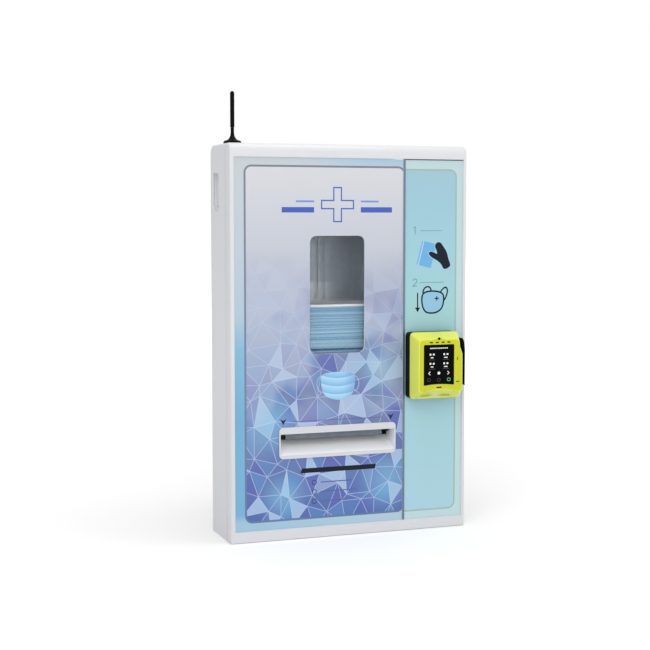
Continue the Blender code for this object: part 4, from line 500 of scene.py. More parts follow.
panel_low, panel_high = box_of("main_panel")
strip_low, strip_high = box_of("strip_panel")
divider_low, divider_high = box_of("panel_divider")
outlet_low, outlet_high = box_of("outlet_bezel")
film_y = panel_low.y - FILM_LIFT
film_box = (panel_low.x + FILM_LEFT, divider_low.x + DIVIDER_LAP,
            panel_low.z + FILM_END, panel_high.z - FILM_END)
main_frame = (-0.199, divider_low.x + 0.009, 0.0345, 0.6625)
window_box = (-0.078, 0.026, 0.330, 0.539)
outlet_box = (outlet_low.x + OUTLET_LAP, outlet_high.x - OUTLET_LAP,
              outlet_low.z + OUTLET_LAP, outlet_high.z - OUTLET_LAP)
strip_box = (divider_high.x - DIVIDER_LAP, strip_high.x - FILM_RIGHT,
             strip_low.z + FILM_END, strip_high.z - FILM_END)
strip_frame = (strip_box[0] - 0.040, 0.2058, 0.034, 0.6584)
print("film", [round(value, 4) for value in film_box], [round(value, 4) for value in strip_box])

# %% [markdown]
# Lower down the print is a field of flat facets between fine light lines, as in cut
# glass. The facets are the triangles of a Delaunay net, which joins every point to its
# nearest neighbours. Rows of points moved at random give triangles of uneven sizes with
# hardly a needle among them.

# %% Points of the net
FACET_PITCH = 0.036
JITTER = 0.36
ROW_SHARE = 0.9
chance = random.Random(23)


def jittered_points(box):
    """Rows of points, each moved by up to about a third of the pitch, also just outside the box."""
    points = []
    for row in range(-1, int((box[3] - box[2]) / FACET_PITCH) + 3):
        for column in range(-1, int((box[1] - box[0]) / FACET_PITCH) + 3):
            shift = FACET_PITCH / 2 if row % 2 else 0
            points.append(Vector((
                box[0] + shift + (column + chance.uniform(-JITTER, JITTER)) * FACET_PITCH,
                box[2] + (row * ROW_SHARE + chance.uniform(-JITTER, JITTER)) * FACET_PITCH)))
    return points


print("points", round(FACET_PITCH * 1000), "mm apart")

# %% [markdown]
# The film's outlines are laid over the net in a second pass, so each little triangle
# knows the facet it came from and how far its corners are from that facet's edges. The
# shader draws a light line wherever that distance is small. Blender has no operator for
# such a net, so the two passes give the corners and faces.

# %% A film cut from the net
NET_PRECISION = 1e-6


def edge_distances(place, corners):
    """How far a place is from each side of a triangle."""
    spans = []
    for start, end in zip(corners, corners[1:] + corners[:1]):
        along = (end - start).normalized()
        spans.append(abs(along.x * (place.y - start.y) - along.y * (place.x - start.x)))
    return spans


def film_slot(inside):
    """Which ink a bit of film has: 0 print, 1 frame line, 2 margin, None where it is cut away."""
    if "film" not in inside or inside & {"window", "outlet"}:
        return None
    if "frame_outer" not in inside:
        return 2
    return 0 if "frame_inner" in inside else 1


def facet_film(name, box, loops, inks):
    """Cut a net of facets by closed loops and give each bit its ink."""
    net_points = jittered_points(box)
    facets = delaunay_2d_cdt(net_points, [], [], 0, NET_PRECISION, True)[2]
    coords = list(net_points)
    faces = [list(facet) for facet in facets]
    for loop in loops.values():
        faces.append(list(range(len(coords), len(coords) + len(loop))))
        coords += loop
    places, _, bits, _, _, origins = delaunay_2d_cdt(coords, [], faces, 0, NET_PRECISION, True)
    names = list(loops)
    tones = [chance.random() for _ in facets]
    pales = [chance.random() for _ in facets]
    shape = bmesh.new()
    span_layer = shape.loops.layers.float_vector.new("edge_span")
    tone_layer = shape.faces.layers.float.new("tone")
    pale_layer = shape.faces.layers.float.new("pale")
    verts = [shape.verts.new((place.x, film_y, place.y)) for place in places]
    for bit, origin in zip(bits, origins):
        slot = film_slot({names[index - len(facets)] for index in origin if index >= len(facets)})
        facet = next((index for index in origin if index < len(facets)), None)
        if slot is None or facet is None:
            continue
        face = shape.faces.new([verts[index] for index in bit])
        face.material_index = slot
        face[tone_layer] = tones[facet]
        face[pale_layer] = pales[facet]
        corners = [net_points[index] for index in facets[facet]]
        for loop in face.loops:
            loop[span_layer] = edge_distances(Vector((loop.vert.co.x, loop.vert.co.z)), corners)
    bmesh.ops.delete(shape, geom=[vert for vert in shape.verts if not vert.link_faces], context='VERTS')
    for face in shape.faces:
        face.normal_update()
        if face.normal.y > 0:
            face.normal_flip()
    return place_piece(name, shape, inks, "door", smooth=False)


print("film cutter ready")

# %% [markdown]
# The film is printed vinyl under clear laminate. All its inks share the laminate's gloss,
# with the faint texture of the roller that pressed it on, and most change with the
# height above the foot.

# %% Laminated inks
def laminated(name):
    """The laminate's gloss, ready for a print."""
    finish, tree, shader = new_finish(name, "#ffffff", 0.34, Specular_IOR_Level=0.35)
    place = add_node(tree, "TexCoord")["Object"]
    rolled = grain(tree, shader, place, size_mm=2.5, height_mm=0.01, strength=0.15, detail=1.0)
    uneven_gloss(tree, shader, rolled, 0.31, 0.38)
    return finish, tree, shader.inputs["Base Color"], place


def height_colour(tree, height, stops):
    """A colour that follows the height, given as (metres, sRGB hex) from the foot up."""
    low, high = stops[0][0], stops[-1][0]
    share = add_node(tree, "MapRange", {"Value": height, "From Min": low, "From Max": high})["Result"]
    colour = add_node(tree, "ValToRGB", {"Fac": share})["Color"]
    elements = colour.node.color_ramp.elements
    while len(elements) < len(stops):
        elements.new(0.5)
    for element, (level, code) in zip(elements, stops):
        element.position = (level - low) / (high - low)
        element.color = linear(code)
    return colour


def height_print(name, stops):
    """An ink that changes with nothing but the height."""
    finish, tree, base, place = laminated(name)
    height = add_node(tree, "SeparateXYZ", {"Vector": place})["Z"]
    tree.links.new(height_colour(tree, height, stops), base)
    return finish


print("laminate ready")

# %% [markdown]
# The facets grow stronger toward the foot, where violet and blue ones alternate with pale
# ones. A few soft glows brighten the blue, and a mist lies over the middle. Each facet's
# tone and paleness are attributes of its faces, and the light lines come from the
# distances to its edges.

# %% Ink of the facets
STRENGTH_SPAN = (0.53, 0.24)
MIST_SPANS = ((0.56, 0.40), (0.10, 0.36))
LINE_EDGE = (0.00085, 0.00030)
GLOWS = ((-0.150, 0.205, 0.075), (0.070, 0.095, 0.070), (0.055, 0.300, 0.060), (-0.130, 0.075, 0.055))

facet_print, tree, base, place = laminated("laminate_facet_print")
height = add_node(tree, "SeparateXYZ", {"Vector": place})["Z"]
strength, *mist_shares = [
    add_node(tree, "MapRange", {"Value": height, "From Min": start, "From Max": end},
             interpolation_type='SMOOTHSTEP')["Result"] for start, end in (STRENGTH_SPAN, *MIST_SPANS)]
tone, pale = [add_node(tree, "Attribute", attribute_name=name)["Fac"] for name in ("tone", "pale")]
colour = height_colour(tree, height, [(0.03, "#4f68a8"), (0.12, "#5f77ae"), (0.22, "#6775a5"),
                                      (0.32, "#7785ac"), (0.42, "#a5abc1"), (0.52, "#c3c7d2"),
                                      (0.66, "#d3d4d9")])
colour = tinted(tree, colour, tone, 0.45, 0.95, "#5a66b0", 0.88, strength)
colour = tinted(tree, colour, tone, 0.40, 0.05, "#5f8fc8", 0.55, strength)
colour = tinted(tree, colour, pale, 0.79, 0.84, "#b4cbe6", 0.75, strength)
for glow_x, glow_z, radius in GLOWS:
    away = add_node(tree, "VectorMath", {0: place, 1: (glow_x, film_y, glow_z)}, operation='DISTANCE')
    colour = tinted(tree, colour, away["Value"], radius, 0.0, "#8acbe8", 0.46)
cloud = add_node(tree, "TexNoise", {"Vector": place, "Scale": 1000 / 110, "Detail": 2.0})["Fac"]
middle = add_node(tree, "Math", dict(enumerate(mist_shares)), operation='MULTIPLY')["Value"]
colour = tinted(tree, colour, cloud, 0.44, 0.62, "#c9d2e1", 0.46, middle)
edge_span = add_node(tree, "Attribute", attribute_name="edge_span")["Vector"]
spans = add_node(tree, "SeparateXYZ", {"Vector": edge_span})
nearest = spans["X"]
for span in (spans["Y"], spans["Z"]):
    nearest = add_node(tree, "Math", {0: nearest, 1: span}, operation='MINIMUM')["Value"]
colour = tinted(tree, colour, nearest, *LINE_EDGE, "#cdd6f2", 0.55, strength)
tree.links.new(colour, base)
print("made", facet_print.name, "with", len(GLOWS), "glows")

# %% [markdown]
# The frame line is one dark ink. The margin round it runs from grey-white above to a
# clear blue at the lower left, and is paler to the right and along the foot.

# %% Frame line and margin, and the main film itself
frame_print = height_print("laminate_frame_line", [(0.03, "#5f799e"), (0.25, "#70819f"), (0.66, "#7b818f")])

margin_print, tree, base, place = laminated("laminate_margin_print")
spans = add_node(tree, "SeparateXYZ", {"Vector": place})
upper = add_node(tree, "MapRange", {"Value": spans["Z"], "From Min": 0.655, "From Max": 0.668},
                 interpolation_type='SMOOTHSTEP')["Result"]
colour = height_colour(tree, spans["Z"], [(0.02, "#79b1d4"), (0.22, "#74acd0"), (0.34, "#86b6d4"),
                                          (0.40, "#b0c6d6"), (0.52, "#bccad4"), (0.68, "#c4cace")])
colour = tinted(tree, colour, spans["X"], -0.19, 0.08, "#bccbdc", 0.65)
colour = tinted(tree, colour, spans["X"], -0.12, 0.06, "#a9c6d8", within=upper)
colour = tinted(tree, colour, spans["Z"], 0.052, 0.034, "#b6cfda", 0.6)
tree.links.new(colour, base)

main_loops = {**frame_loops(film_box, main_frame, FRAME_LINE),
              "window": ring_points(*window_box, 0.012),
              "outlet": ring_points(*outlet_box, 0.0063)}
main_film = facet_film("main_panel_film", film_box, main_loops, [facet_print, frame_print, margin_print])
print("main film", len(main_film.data.polygons), "faces")

# %% [markdown]
# The narrow panel carries a plainer film: a teal sky with one thin olive line that turns
# two round corners on the right and runs off the film on the left.

# %% Printed film on the strip panel
strip_inks = [
    height_print("laminate_teal_print", [(0.03, "#aad1dd"), (0.20, "#a5cfd8"), (0.36, "#a2cfd1"),
                                         (0.50, "#9ecbd6"), (0.60, "#9cc5d4"), (0.66, "#9ec2cf")]),
    height_print("laminate_olive_line", [(0.03, "#9cb8ae"), (0.66, "#9ab6ab")]),
    height_print("laminate_strip_margin", [(0.02, "#bfd8dc"), (0.36, "#bcd6da"), (0.68, "#bcd4d8")])]
strip_film = facet_film("strip_panel_film", strip_box, frame_loops(strip_box, strip_frame, STRIP_LINE),
                        strip_inks)
print("strip film", len(strip_film.data.polygons), "faces")

# %% [markdown]
# A thin dark strip along the top of the narrow panel is painted shade: the shadow in the
# joint between the frame and the panel. It is one flat face just in front of the film.

# %% Painted shade over the strip panel
SHADE_STRIP_LIFT = 0.0002
SHADE_STRIP_HEIGHT = 0.0016

# Painted shade: a dark strip in the rubber's grey for the shadow under the frame.
shade_strip = bmesh.new()
left, right, _, top = strip_box
outline = ((left, top - SHADE_STRIP_HEIGHT), (right, top - SHADE_STRIP_HEIGHT), (right, top), (left, top))
shade_strip.faces.new([shade_strip.verts.new((x, film_y - SHADE_STRIP_LIFT, z)) for x, z in outline])
place_piece("strip_panel_painted_shade", shade_strip, [grey_rubber], "door", smooth=False)
print("seal laid")

# %% [markdown]
# The printed marks lie on the film as thin layers of ink. Each is drawn from filled
# outlines and from strokes of even width with mitred corners, in the plane of the door.
# They are plain signs: a cross, rules, chevrons, numbers, a card held in a hand, a mask.

# %% Drawing with ink
INK_LIFT = 0.00003


def fill(shape, points, layer=1, slot=0):
    """A filled outline, given as (x, z) points, some layers of ink above the film."""
    verts = [shape.verts.new((x, film_y - layer * INK_LIFT, z)) for x, z in points]
    face = shape.faces.new(verts)
    face.normal_update()
    if face.normal.y > 0:
        face.normal_flip()
    face.material_index = slot


def bar(shape, left, right, low, high, slot=0):
    """A filled rectangle."""
    fill(shape, [(left, low), (right, low), (right, high), (left, high)], slot=slot)


def stroke(shape, points, width, closed=False, layer=1, slot=0):
    """A line of even width along (x, z) points."""
    path = [Vector(point) for point in points]
    rails = []
    for index, place in enumerate(path):
        before, after = path[index - 1], path[(index + 1) % len(path)]
        if not closed and index == 0:
            before = 2 * place - after
        if not closed and index == len(path) - 1:
            after = 2 * place - before
        first = (place - before).normalized()
        second = (after - place).normalized()
        across = Vector((-first.y - second.y, first.x + second.x)).normalized()
        reach = width / 2 / max(across.dot(Vector((-first.y, first.x))), 0.4)
        rails.append((place + across * reach, place - across * reach))
    following = rails[1:] + rails[:1] if closed else rails[1:]
    for (left, right), (next_left, next_right) in zip(rails, following):
        fill(shape, [left, next_left, next_right, right], layer, slot)


print("one layer of ink is", round(INK_LIFT * 1000, 2), "mm")

# %% [markdown]
# Round signs need curves. An arc gives rings and ear loops, a closed curve through a few
# given points gives the hand and the masks, and every outline is drawn round the
# origin, so it can be turned and scaled before it is set in its place.

# %% Curves and outlines
def bow(centre, radii, first=0, last=345, steps=23):
    """Points along part of an ellipse, or all round it."""
    turns = [math.radians(first + (last - first) * step / steps) for step in range(steps + 1)]
    return [(centre[0] + radii[0] * math.cos(turn), centre[1] + radii[1] * math.sin(turn))
            for turn in turns]


def turned_points(points, centre, degrees=0, size=1.0):
    """Points drawn round the origin, scaled, turned and moved to their centre."""
    turn = Matrix.Rotation(math.radians(degrees), 2)
    return [turn @ (Vector(point) * size) + Vector(centre) for point in points]


def smooth_loop(points, steps=6):
    """A closed curve through the points."""
    path = [Vector(point) for point in points]
    curve = []
    for index, place in enumerate(path):
        before, after, beyond = (path[(index + shift) % len(path)] for shift in (-1, 1, 2))
        for step in range(steps):
            share = step / steps
            curve.append(0.5 * (2 * place + (after - before) * share
                                + (2 * before - 5 * place + 4 * after - beyond) * share ** 2
                                + (3 * place - before - 3 * after + beyond) * share ** 3))
    return curve


print("a full ring has", len(bow((0, 0), (1, 1))), "corners")

# %% [markdown]
# Screen ink is even in colour and a little glossier than the laminate. Its grain is the
# mesh of the screen, drawn 0.6 mm across so that it shows. Nine inks do for all signs.

# %% Screen inks
def ink(name, code):
    """Screen ink with a very fine grain."""
    finish, tree, shader = new_finish(name, code, 0.30, Specular_IOR_Level=0.2)
    place = add_node(tree, "TexCoord")["Object"]
    noise = grain(tree, shader, place, size_mm=0.6, height_mm=0.004, strength=0.2, detail=1.0)
    uneven_gloss(tree, shader, noise, 0.27, 0.35)
    return finish


royal_ink = ink("ink_royal_blue", "#4a63b8")
soft_blue_ink = ink("ink_soft_blue", "#7c93d6")
navy_ink = ink("ink_navy", "#262a5c")
faded_ink = ink("ink_faded_navy", "#5a66a2")
dark_ink = ink("ink_charcoal", "#0b1522")
card_ink = ink("ink_card_blue", "#6fb0de")
pale_ink = ink("ink_pale_blue", "#a9d2ee")
cloth_ink = ink("ink_cloth_blue", "#92c3de")
slate_ink = ink("ink_slate_teal", "#69a0b4")
print("inks ready")

# %% [markdown]
# The main film has an outlined cross over the window between two pairs of rules, two
# chevrons that point at the outlet with a thin rule between them, and under the outlet a
# dark bar and three rings, each with a faint rule.

# %% Marks on the main panel
CROSS_PLACE = (-0.026, 0.594)
ARM, HALF = 0.030, 0.0072
CROSS = [(-HALF, -ARM), (HALF, -ARM), (HALF, -HALF), (ARM, -HALF), (ARM, HALF), (HALF, HALF),
         (HALF, ARM), (-HALF, ARM), (-HALF, HALF), (-ARM, HALF), (-ARM, -HALF), (-HALF, -HALF)]
RULE_START = 0.044
RULES = ((0.104, 0.580, 0.5895, 0), (0.078, 0.598, 0.6012, 1))
CHEVRON = [(-0.0058, 0.0052), (0, 0.0024), (0.0058, 0.0052), (0, -0.0058)]
CHEVRON_PLACES = ((-0.128, 0.2115), (0.077, 0.2115))
THIN_RULE = (-0.112, 0.061, 0.2108, 0.2120)
DARK_BAR = [(-0.096, 0.1180), (0.046, 0.1180), (0.0485, 0.1265), (-0.0935, 0.1265)]
RING_X, RING_TOP, RING_PITCH = -0.070, 0.100, 0.017
RING_RADII = (0.0042, 0.0042)
RING_RULE_START, RING_RULE_HALF = -0.058, 0.0010
RING_RULES = (0.060, 0.070, 0.052)

marks = bmesh.new()
stroke(marks, turned_points(CROSS, CROSS_PLACE), width=0.0023, closed=True)
for side in (-1, 1):
    for reach, low, high, slot in RULES:
        start, end = sorted((CROSS_PLACE[0] + side * RULE_START, CROSS_PLACE[0] + side * reach))
        bar(marks, start, end, low, high, slot)
for centre in CHEVRON_PLACES:
    fill(marks, turned_points(CHEVRON, centre), slot=2)
bar(marks, *THIN_RULE, slot=4)
fill(marks, DARK_BAR, slot=3)
for row, length in enumerate(RING_RULES):
    row_z = RING_TOP - row * RING_PITCH
    stroke(marks, bow((RING_X, row_z), RING_RADII), width=0.0011, closed=True, slot=2)
    bar(marks, RING_RULE_START, RING_RULE_START + length, row_z - RING_RULE_HALF, row_z + RING_RULE_HALF,
        slot=4)
place_piece("main_panel_marks", marks, [royal_ink, soft_blue_ink, navy_ink, dark_ink, faded_ink], "door",
            smooth=False)
print("cross, rules, chevrons, bar and rings printed")

# %% [markdown]
# The printed mask is a soft shape with three pleats and no hard outline, so its shader
# carries the picture: folds that dip in the middle, each paler toward its top, and a
# deeper blue on the right. Two thin strokes are the ear loops.

# %% Printed mask under the window
MASK_PLACE = (-0.024, 0.274)
FOLD_DIP = 6.0
FOLD_HEIGHT = 0.0145
FOLD_SHIFT = 8.2
MASK_OUTLINE = [(-0.030, 0.019), (0, 0.0225), (0.028, 0.018), (0.031, 0.0), (0.024, -0.020),
                (0, -0.0275), (-0.025, -0.019), (-0.033, 0.002)]

mask_finish, tree, base, place = laminated("laminate_mask_picture")
centred = add_node(tree, "Mapping", {"Vector": place, "Location": (-MASK_PLACE[0], -film_y, -MASK_PLACE[1])})
spans = add_node(tree, "SeparateXYZ", {"Vector": centred["Vector"]})
wave = spans["X"]
for operation, sockets in (('POWER', {1: 2.0}), ('MULTIPLY', {1: FOLD_DIP})):
    wave = add_node(tree, "Math", {0: wave, **sockets}, operation=operation)["Value"]
wave = add_node(tree, "Math", {0: spans["Z"], 1: wave}, operation='SUBTRACT')["Value"]
for operation, sockets in (('MULTIPLY', {1: 1 / FOLD_HEIGHT}), ('ADD', {1: FOLD_SHIFT}), ('FRACT', {})):
    wave = add_node(tree, "Math", {0: wave, **sockets}, operation=operation)["Value"]
colour = add_node(tree, "Mix", {0: wave, 6: "#78b6e4", 7: "#b4dcf2"}, data_type='RGBA')[2]
colour = tinted(tree, colour, spans["X"], 0.005, 0.032, "#6f9ad6", 0.55)
tree.links.new(colour, base)

printed = bmesh.new()
fill(printed, smooth_loop(turned_points(MASK_OUTLINE, MASK_PLACE)))
for centre, radii, first, last in (((-0.030, 0.002), (0.011, 0.015), 100, 262),
                                   ((0.029, 0.001), (0.010, 0.014), 82, -84)):
    stroke(printed, turned_points(bow(centre, radii, first, last, 12), MASK_PLACE), width=0.0010, slot=1)
place_piece("main_panel_mask_picture", printed, [mask_finish, pale_ink], "door", smooth=False)
print("mask picture printed")

# %% [markdown]
# On the narrow panel, plain numbers mark two steps: a card held out in a hand, and a mask
# with a drop arrow. The outlines are drawn round the origin and set in place.

# %% Step one on the strip panel
DIGIT_SIZE = 1.3
DIGIT_LINE = 0.0017
STEP_RULES = ((0.5475, 0.176), (0.4535, 0.181))
STEP_RULE_START, STEP_RULE_HALF = 0.1335, 0.0006
CARD = ring_points(-0.0125, 0.0125, -0.0195, 0.0195, 0.0022, 4)
CARD_PLACE, CARD_TURN, CARD_SIZE = (0.1460, 0.5045), -14, 1.15
HAND_PLACE, HAND_SIZE = (0.1710, 0.5035), 1.18
ONE = [(-0.0020, 0.0034), (0.0008, 0.0052), (0.0008, -0.0052)]
TWO = bow((0, 0.0022), (0.0030, 0.0030), 170, -35, 10) + [(-0.0032, -0.0050), (0.0034, -0.0050)]
CARD_STRIPE = [(-0.0105, -0.0195), (-0.0085, -0.0195), (-0.0085, 0.0195), (-0.0105, 0.0195)]
HAND = [(0.0190, -0.0170), (0.0090, -0.0220), (0.0030, -0.0140), (-0.0030, -0.0090), (-0.0120, -0.0040),
        (-0.0170, 0.0010), (-0.0155, 0.0050), (-0.0090, 0.0040), (-0.0035, 0.0015), (-0.0040, 0.0060),
        (-0.0070, 0.0130), (-0.0040, 0.0185), (0.0020, 0.0190), (0.0080, 0.0120), (0.0130, 0.0040),
        (0.0160, -0.0060)]

steps = bmesh.new()
for digit, centre in ((ONE, (0.1225, 0.5475)), (TWO, (0.1235, 0.4535))):
    stroke(steps, turned_points(digit, centre, 0, DIGIT_SIZE), DIGIT_LINE, slot=3)
for rule_z, rule_end in STEP_RULES:
    bar(steps, STEP_RULE_START, rule_end, rule_z - STEP_RULE_HALF, rule_z + STEP_RULE_HALF, slot=3)
fill(steps, turned_points(CARD, CARD_PLACE, CARD_TURN, CARD_SIZE), slot=1)
fill(steps, turned_points(CARD_STRIPE, CARD_PLACE, CARD_TURN, CARD_SIZE), layer=2, slot=2)
hand = turned_points(smooth_loop(HAND), HAND_PLACE, 0, HAND_SIZE)
stroke(steps, hand, width=0.0026, closed=True, layer=3, slot=2)
fill(steps, hand, layer=4)
print("card and hand drawn")

# %% [markdown]
# The second sign is a mask seen from the front: a filled outline with two loops behind
# it, a small cross on it, and an arrow down at its left.

# %% Step two on the strip panel
MASK_SIGN = [(-0.0150, 0.0120), (0.0010, 0.0150), (0.0150, 0.0100), (0.0140, -0.0070), (0.0040, -0.0150),
             (-0.0110, -0.0140), (-0.0170, -0.0020)]
MASK_SIGN_PLACE, MASK_SIGN_SIZE = (0.1600, 0.4180), 1.3
EAR_LOOPS = (((0.0068, 0.0150), (0.1795, 0.4300), -24), ((0.0075, 0.0092), (0.1475, 0.4370), -30))
SMALL_CROSS_PLACE, SMALL_CROSS_SIZE = (0.1670, 0.4240), 0.14
ARROW_LINE = [(0.1290, 0.4350), (0.1290, 0.4065)]
ARROW_HEAD = [(0.1240, 0.4080), (0.1340, 0.4080), (0.1290, 0.3995)]

mask_sign = turned_points(smooth_loop(MASK_SIGN), MASK_SIGN_PLACE, 0, MASK_SIGN_SIZE)
for radii, centre, degrees in EAR_LOOPS:
    stroke(steps, turned_points(bow((0, 0), radii), centre, degrees), width=0.0027, closed=True)
fill(steps, mask_sign, layer=2, slot=4)
stroke(steps, mask_sign, width=0.0029, closed=True, layer=3)
fill(steps, turned_points(CROSS, SMALL_CROSS_PLACE, 0, SMALL_CROSS_SIZE), layer=3)
stroke(steps, ARROW_LINE, width=0.0024)
fill(steps, ARROW_HEAD)
place_piece("strip_panel_marks", steps, [dark_ink, card_ink, pale_ink, slate_ink, cloth_ink], "door",
            smooth=False)
print("step marks printed")

# %% [markdown]
# The reader's screen shows four keys as groups of small white tiles, two arrows, a round
# key and a green ring. Lit ink glows a little through the glass. The signs are drawn in
# the film's plane like the others and then moved to the plane of the screen.

# %% Signs on the reader's screen
screen_low, screen_high = box_of("reader_screen")
screen_x = (screen_low.x + screen_high.x) / 2
lit_white = new_finish("screen_tile_white", "#e3e8da", 0.25, Emission_Color="#e9eef2",
                       Emission_Strength=0.12)[0]
lit_green = new_finish("screen_tile_green", "#4fc08a", 0.25, Emission_Color="#4fc08a",
                       Emission_Strength=0.20)[0]
lit_dim = new_finish("screen_tile_dim", "#3a3d44", 0.30)[0]


def on_plane_y(shape, y):
    """Move a flat drawing from the film's plane to a plane of its own."""
    bmesh.ops.translate(shape, verts=shape.verts, vec=(0, y - film_y, 0))
    return shape


def tile(x, z, width, height, slot=0):
    """A lit rectangle, placed by its middle."""
    bar(tiles, x - width / 2, x + width / 2, z - height / 2, z + height / 2, slot)


tiles = bmesh.new()
for step in range(9):
    tile(screen_x - 0.0160 + step * 0.0040, 0.3375, 0.0027, 0.0020)
for key_x, label_width in ((screen_x - 0.0135, 0.0052), (screen_x + 0.0135, 0.0066)):
    for key_z in (0.3235, 0.3070):
        tile(key_x - 0.0032, key_z + 0.0028, 0.0032, 0.0034)
        tile(key_x + 0.0032, key_z + 0.0028, 0.0034, 0.0030)
        tile(key_x, key_z - 0.0030, label_width, 0.0018)
        tile(key_x, key_z - 0.0068, 0.0125, 0.0007, slot=2)
for side in (-1, 1):
    base_x, tip_x = screen_x + side * 0.0170, screen_x + side * 0.0200
    stroke(tiles, [(base_x, 0.2955), (tip_x, 0.2925), (base_x, 0.2895)], width=0.0013)
fill(tiles, bow((screen_x, 0.2925), (0.0027, 0.0027)))
for shift, radii, width, slot in ((0.0195, (0.0031, 0.0027), 0.0010, 1),
                                  (-0.0195, (0.0030, 0.0027), 0.0007, 2), (0, (0.0030, 0.0027), 0.0007, 2)):
    stroke(tiles, bow((screen_x + shift, 0.2805), radii), width, closed=True, slot=slot)
place_piece("reader_screen_tiles", on_plane_y(tiles, screen_low.y), [lit_white, lit_green, lit_dim],
            "door", smooth=False)
print("screen lit")

# %% [markdown]
# Seven dashes are printed on the yellow fascia: four over the screen, one under it and
# two at its right.

# %% Dashes on the reader's fascia
DASH_PITCH, DASH_Z = 0.0115, 0.3480
DASHES = [((screen_x - 0.0185 + step * DASH_PITCH, DASH_Z), (screen_x - 0.0125 + step * DASH_PITCH, DASH_Z),
           0.0024) for step in range(4)]
DASHES += [((screen_x - 0.0050, 0.2668), (screen_x + 0.0050, 0.2668), 0.0024),
           ((screen_high.x + 0.0065, 0.3150), (screen_high.x + 0.0065, 0.3205), 0.0016),
           ((screen_high.x + 0.0040, 0.2760), (screen_high.x + 0.0100, 0.2760), 0.0018)]

dashes = bmesh.new()
for start, end, width in DASHES:
    stroke(dashes, [start, end], width)
place_piece("reader_fascia_marks", on_plane_y(dashes, box_of("reader_fascia")[0].y), [dark_ink], "door",
            smooth=False)
print("reader marks printed")

# %% [markdown]
# The stack is forty-eight pleated masks, each in its own clear wrap, lying flat. A packet
# is a low cushion: two round folds along its front, three pleats over the top and a thin
# crimped seam at either end. Its outline changes along its length, so it is a loft of
# rings of corners, joined ring by ring.

# %% One wrapped mask
PACKETS = 48
SEAM_LENGTH = 0.0055
SEAM_SHARE = 0.12
SHOULDER_LENGTH = 0.007
PLAY = 0.0009
AIR_GAP = 0.00015
PLEATS = (-0.5, -0.2, 0.1)
PLEAT_DEPTH = 0.0006
PLEAT_STEP = 0.0004
INWARDS = (0, 0.0055, 0.0062, 0.0080, 0.0125, 0.030, 0.055)

stack_low, stack_high = box_of("mask_stack")
stack_middle = (stack_low + stack_high) / 2
packet_pitch = (stack_high.z - stack_low.z) / PACKETS
half_long = (stack_high.x - stack_low.x) / 2 - 2 * PLAY
half_deep = (stack_high.y - stack_low.y) / 2 - 2 * PLAY
half_thick = packet_pitch / 2 - AIR_GAP
stations = [inward - half_long for inward in INWARDS] + [half_long - inward for inward in INWARDS[::-1]]


def arc_points(centre_y, centre_z, radius, turns):
    """Points on a circle in a packet's cross-section."""
    return [(centre_y + radius * math.cos(math.radians(turn)),
             centre_z + radius * math.sin(math.radians(turn))) for turn in turns]


def packet_section(x):
    """The closed outline of a packet at one place along it, as (y, z) points."""
    rise = min(max((half_long - SEAM_LENGTH - abs(x)) / SHOULDER_LENGTH, 0.0), 1.0)
    share = SEAM_SHARE + (1 - SEAM_SHARE) * math.sqrt(1 - (1 - rise) ** 2)
    radius = half_thick * share
    fold = radius / 2
    front = (arc_points(fold - half_deep, -fold, fold, (270, 225, 180, 135, 90))
             + arc_points(fold - half_deep, fold, fold, (225, 180, 135, 90)))
    pleats = []
    for place in PLEATS:
        crease_y = place * half_deep
        pleats += [(crease_y, radius - PLEAT_DEPTH * share), (crease_y + PLEAT_STEP, radius)]
    return front + pleats + arc_points(half_deep - radius, 0, radius, (90, 30, -30, -90))


print("packet", round(half_long * 2000, 1), "mm long and", round(half_thick * 2000, 2), "mm thick")

# %% [markdown]
# None of the packets lies quite true, so each is moved and turned by a hair, and either
# fold has a tone of its own. One packet is a deep blue.

# %% Stack of wrapped masks
DEEP_BLUE_PACKET = 25
LOWER_FOLD_POINTS = 4
TURN_SHARE = 0.3
SAG = 0.0002
SAG_ALONG = 41
SAG_UP = 0.35

stack = bmesh.new()
tone_layer = stack.faces.layers.float.new("tone")
chance.seed(48)
for number in range(PACKETS):
    shift = Vector((chance.uniform(-PLAY, PLAY), chance.uniform(-PLAY, PLAY), 0))
    turn = Matrix.Rotation(chance.uniform(-TURN_SHARE, TURN_SHARE) * PLAY / half_long * 2, 3, 'Z')
    tones = [chance.random() ** 2.0 for _ in range(2)]
    middle = Vector((stack_middle.x, stack_middle.y, stack_low.z + (number + 0.5) * packet_pitch))
    rings = []
    for x in stations:
        sag = Vector((0, 0, SAG * math.sin(x * SAG_ALONG + number * SAG_UP)))
        rings.append([stack.verts.new(middle + turn @ Vector((x, y, z)) + shift + sag)
                      for y, z in packet_section(x)])
    faces = [(stack.faces.new(rings[0]), 0), (stack.faces.new(rings[-1][::-1]), 0)]
    for ring, following in zip(rings, rings[1:]):
        for index in range(len(ring)):
            after = (index + 1) % len(ring)
            side = stack.faces.new((ring[index], following[index], following[after], ring[after]))
            faces.append((side, 0 if index < LOWER_FOLD_POINTS else 1))
    for face, fold in faces:
        face[tone_layer] = tones[fold]
        face.material_index = 1 if number == DEEP_BLUE_PACKET else 0
bmesh.ops.recalc_face_normals(stack, faces=stack.faces)
print(PACKETS, "packets laid")

# %% [markdown]
# A wrapped mask is pressed non-woven cloth, bonded in a fine pattern of dots, under
# crinkled clear film. The film is the shader's coat, and the crinkles are a low relief.

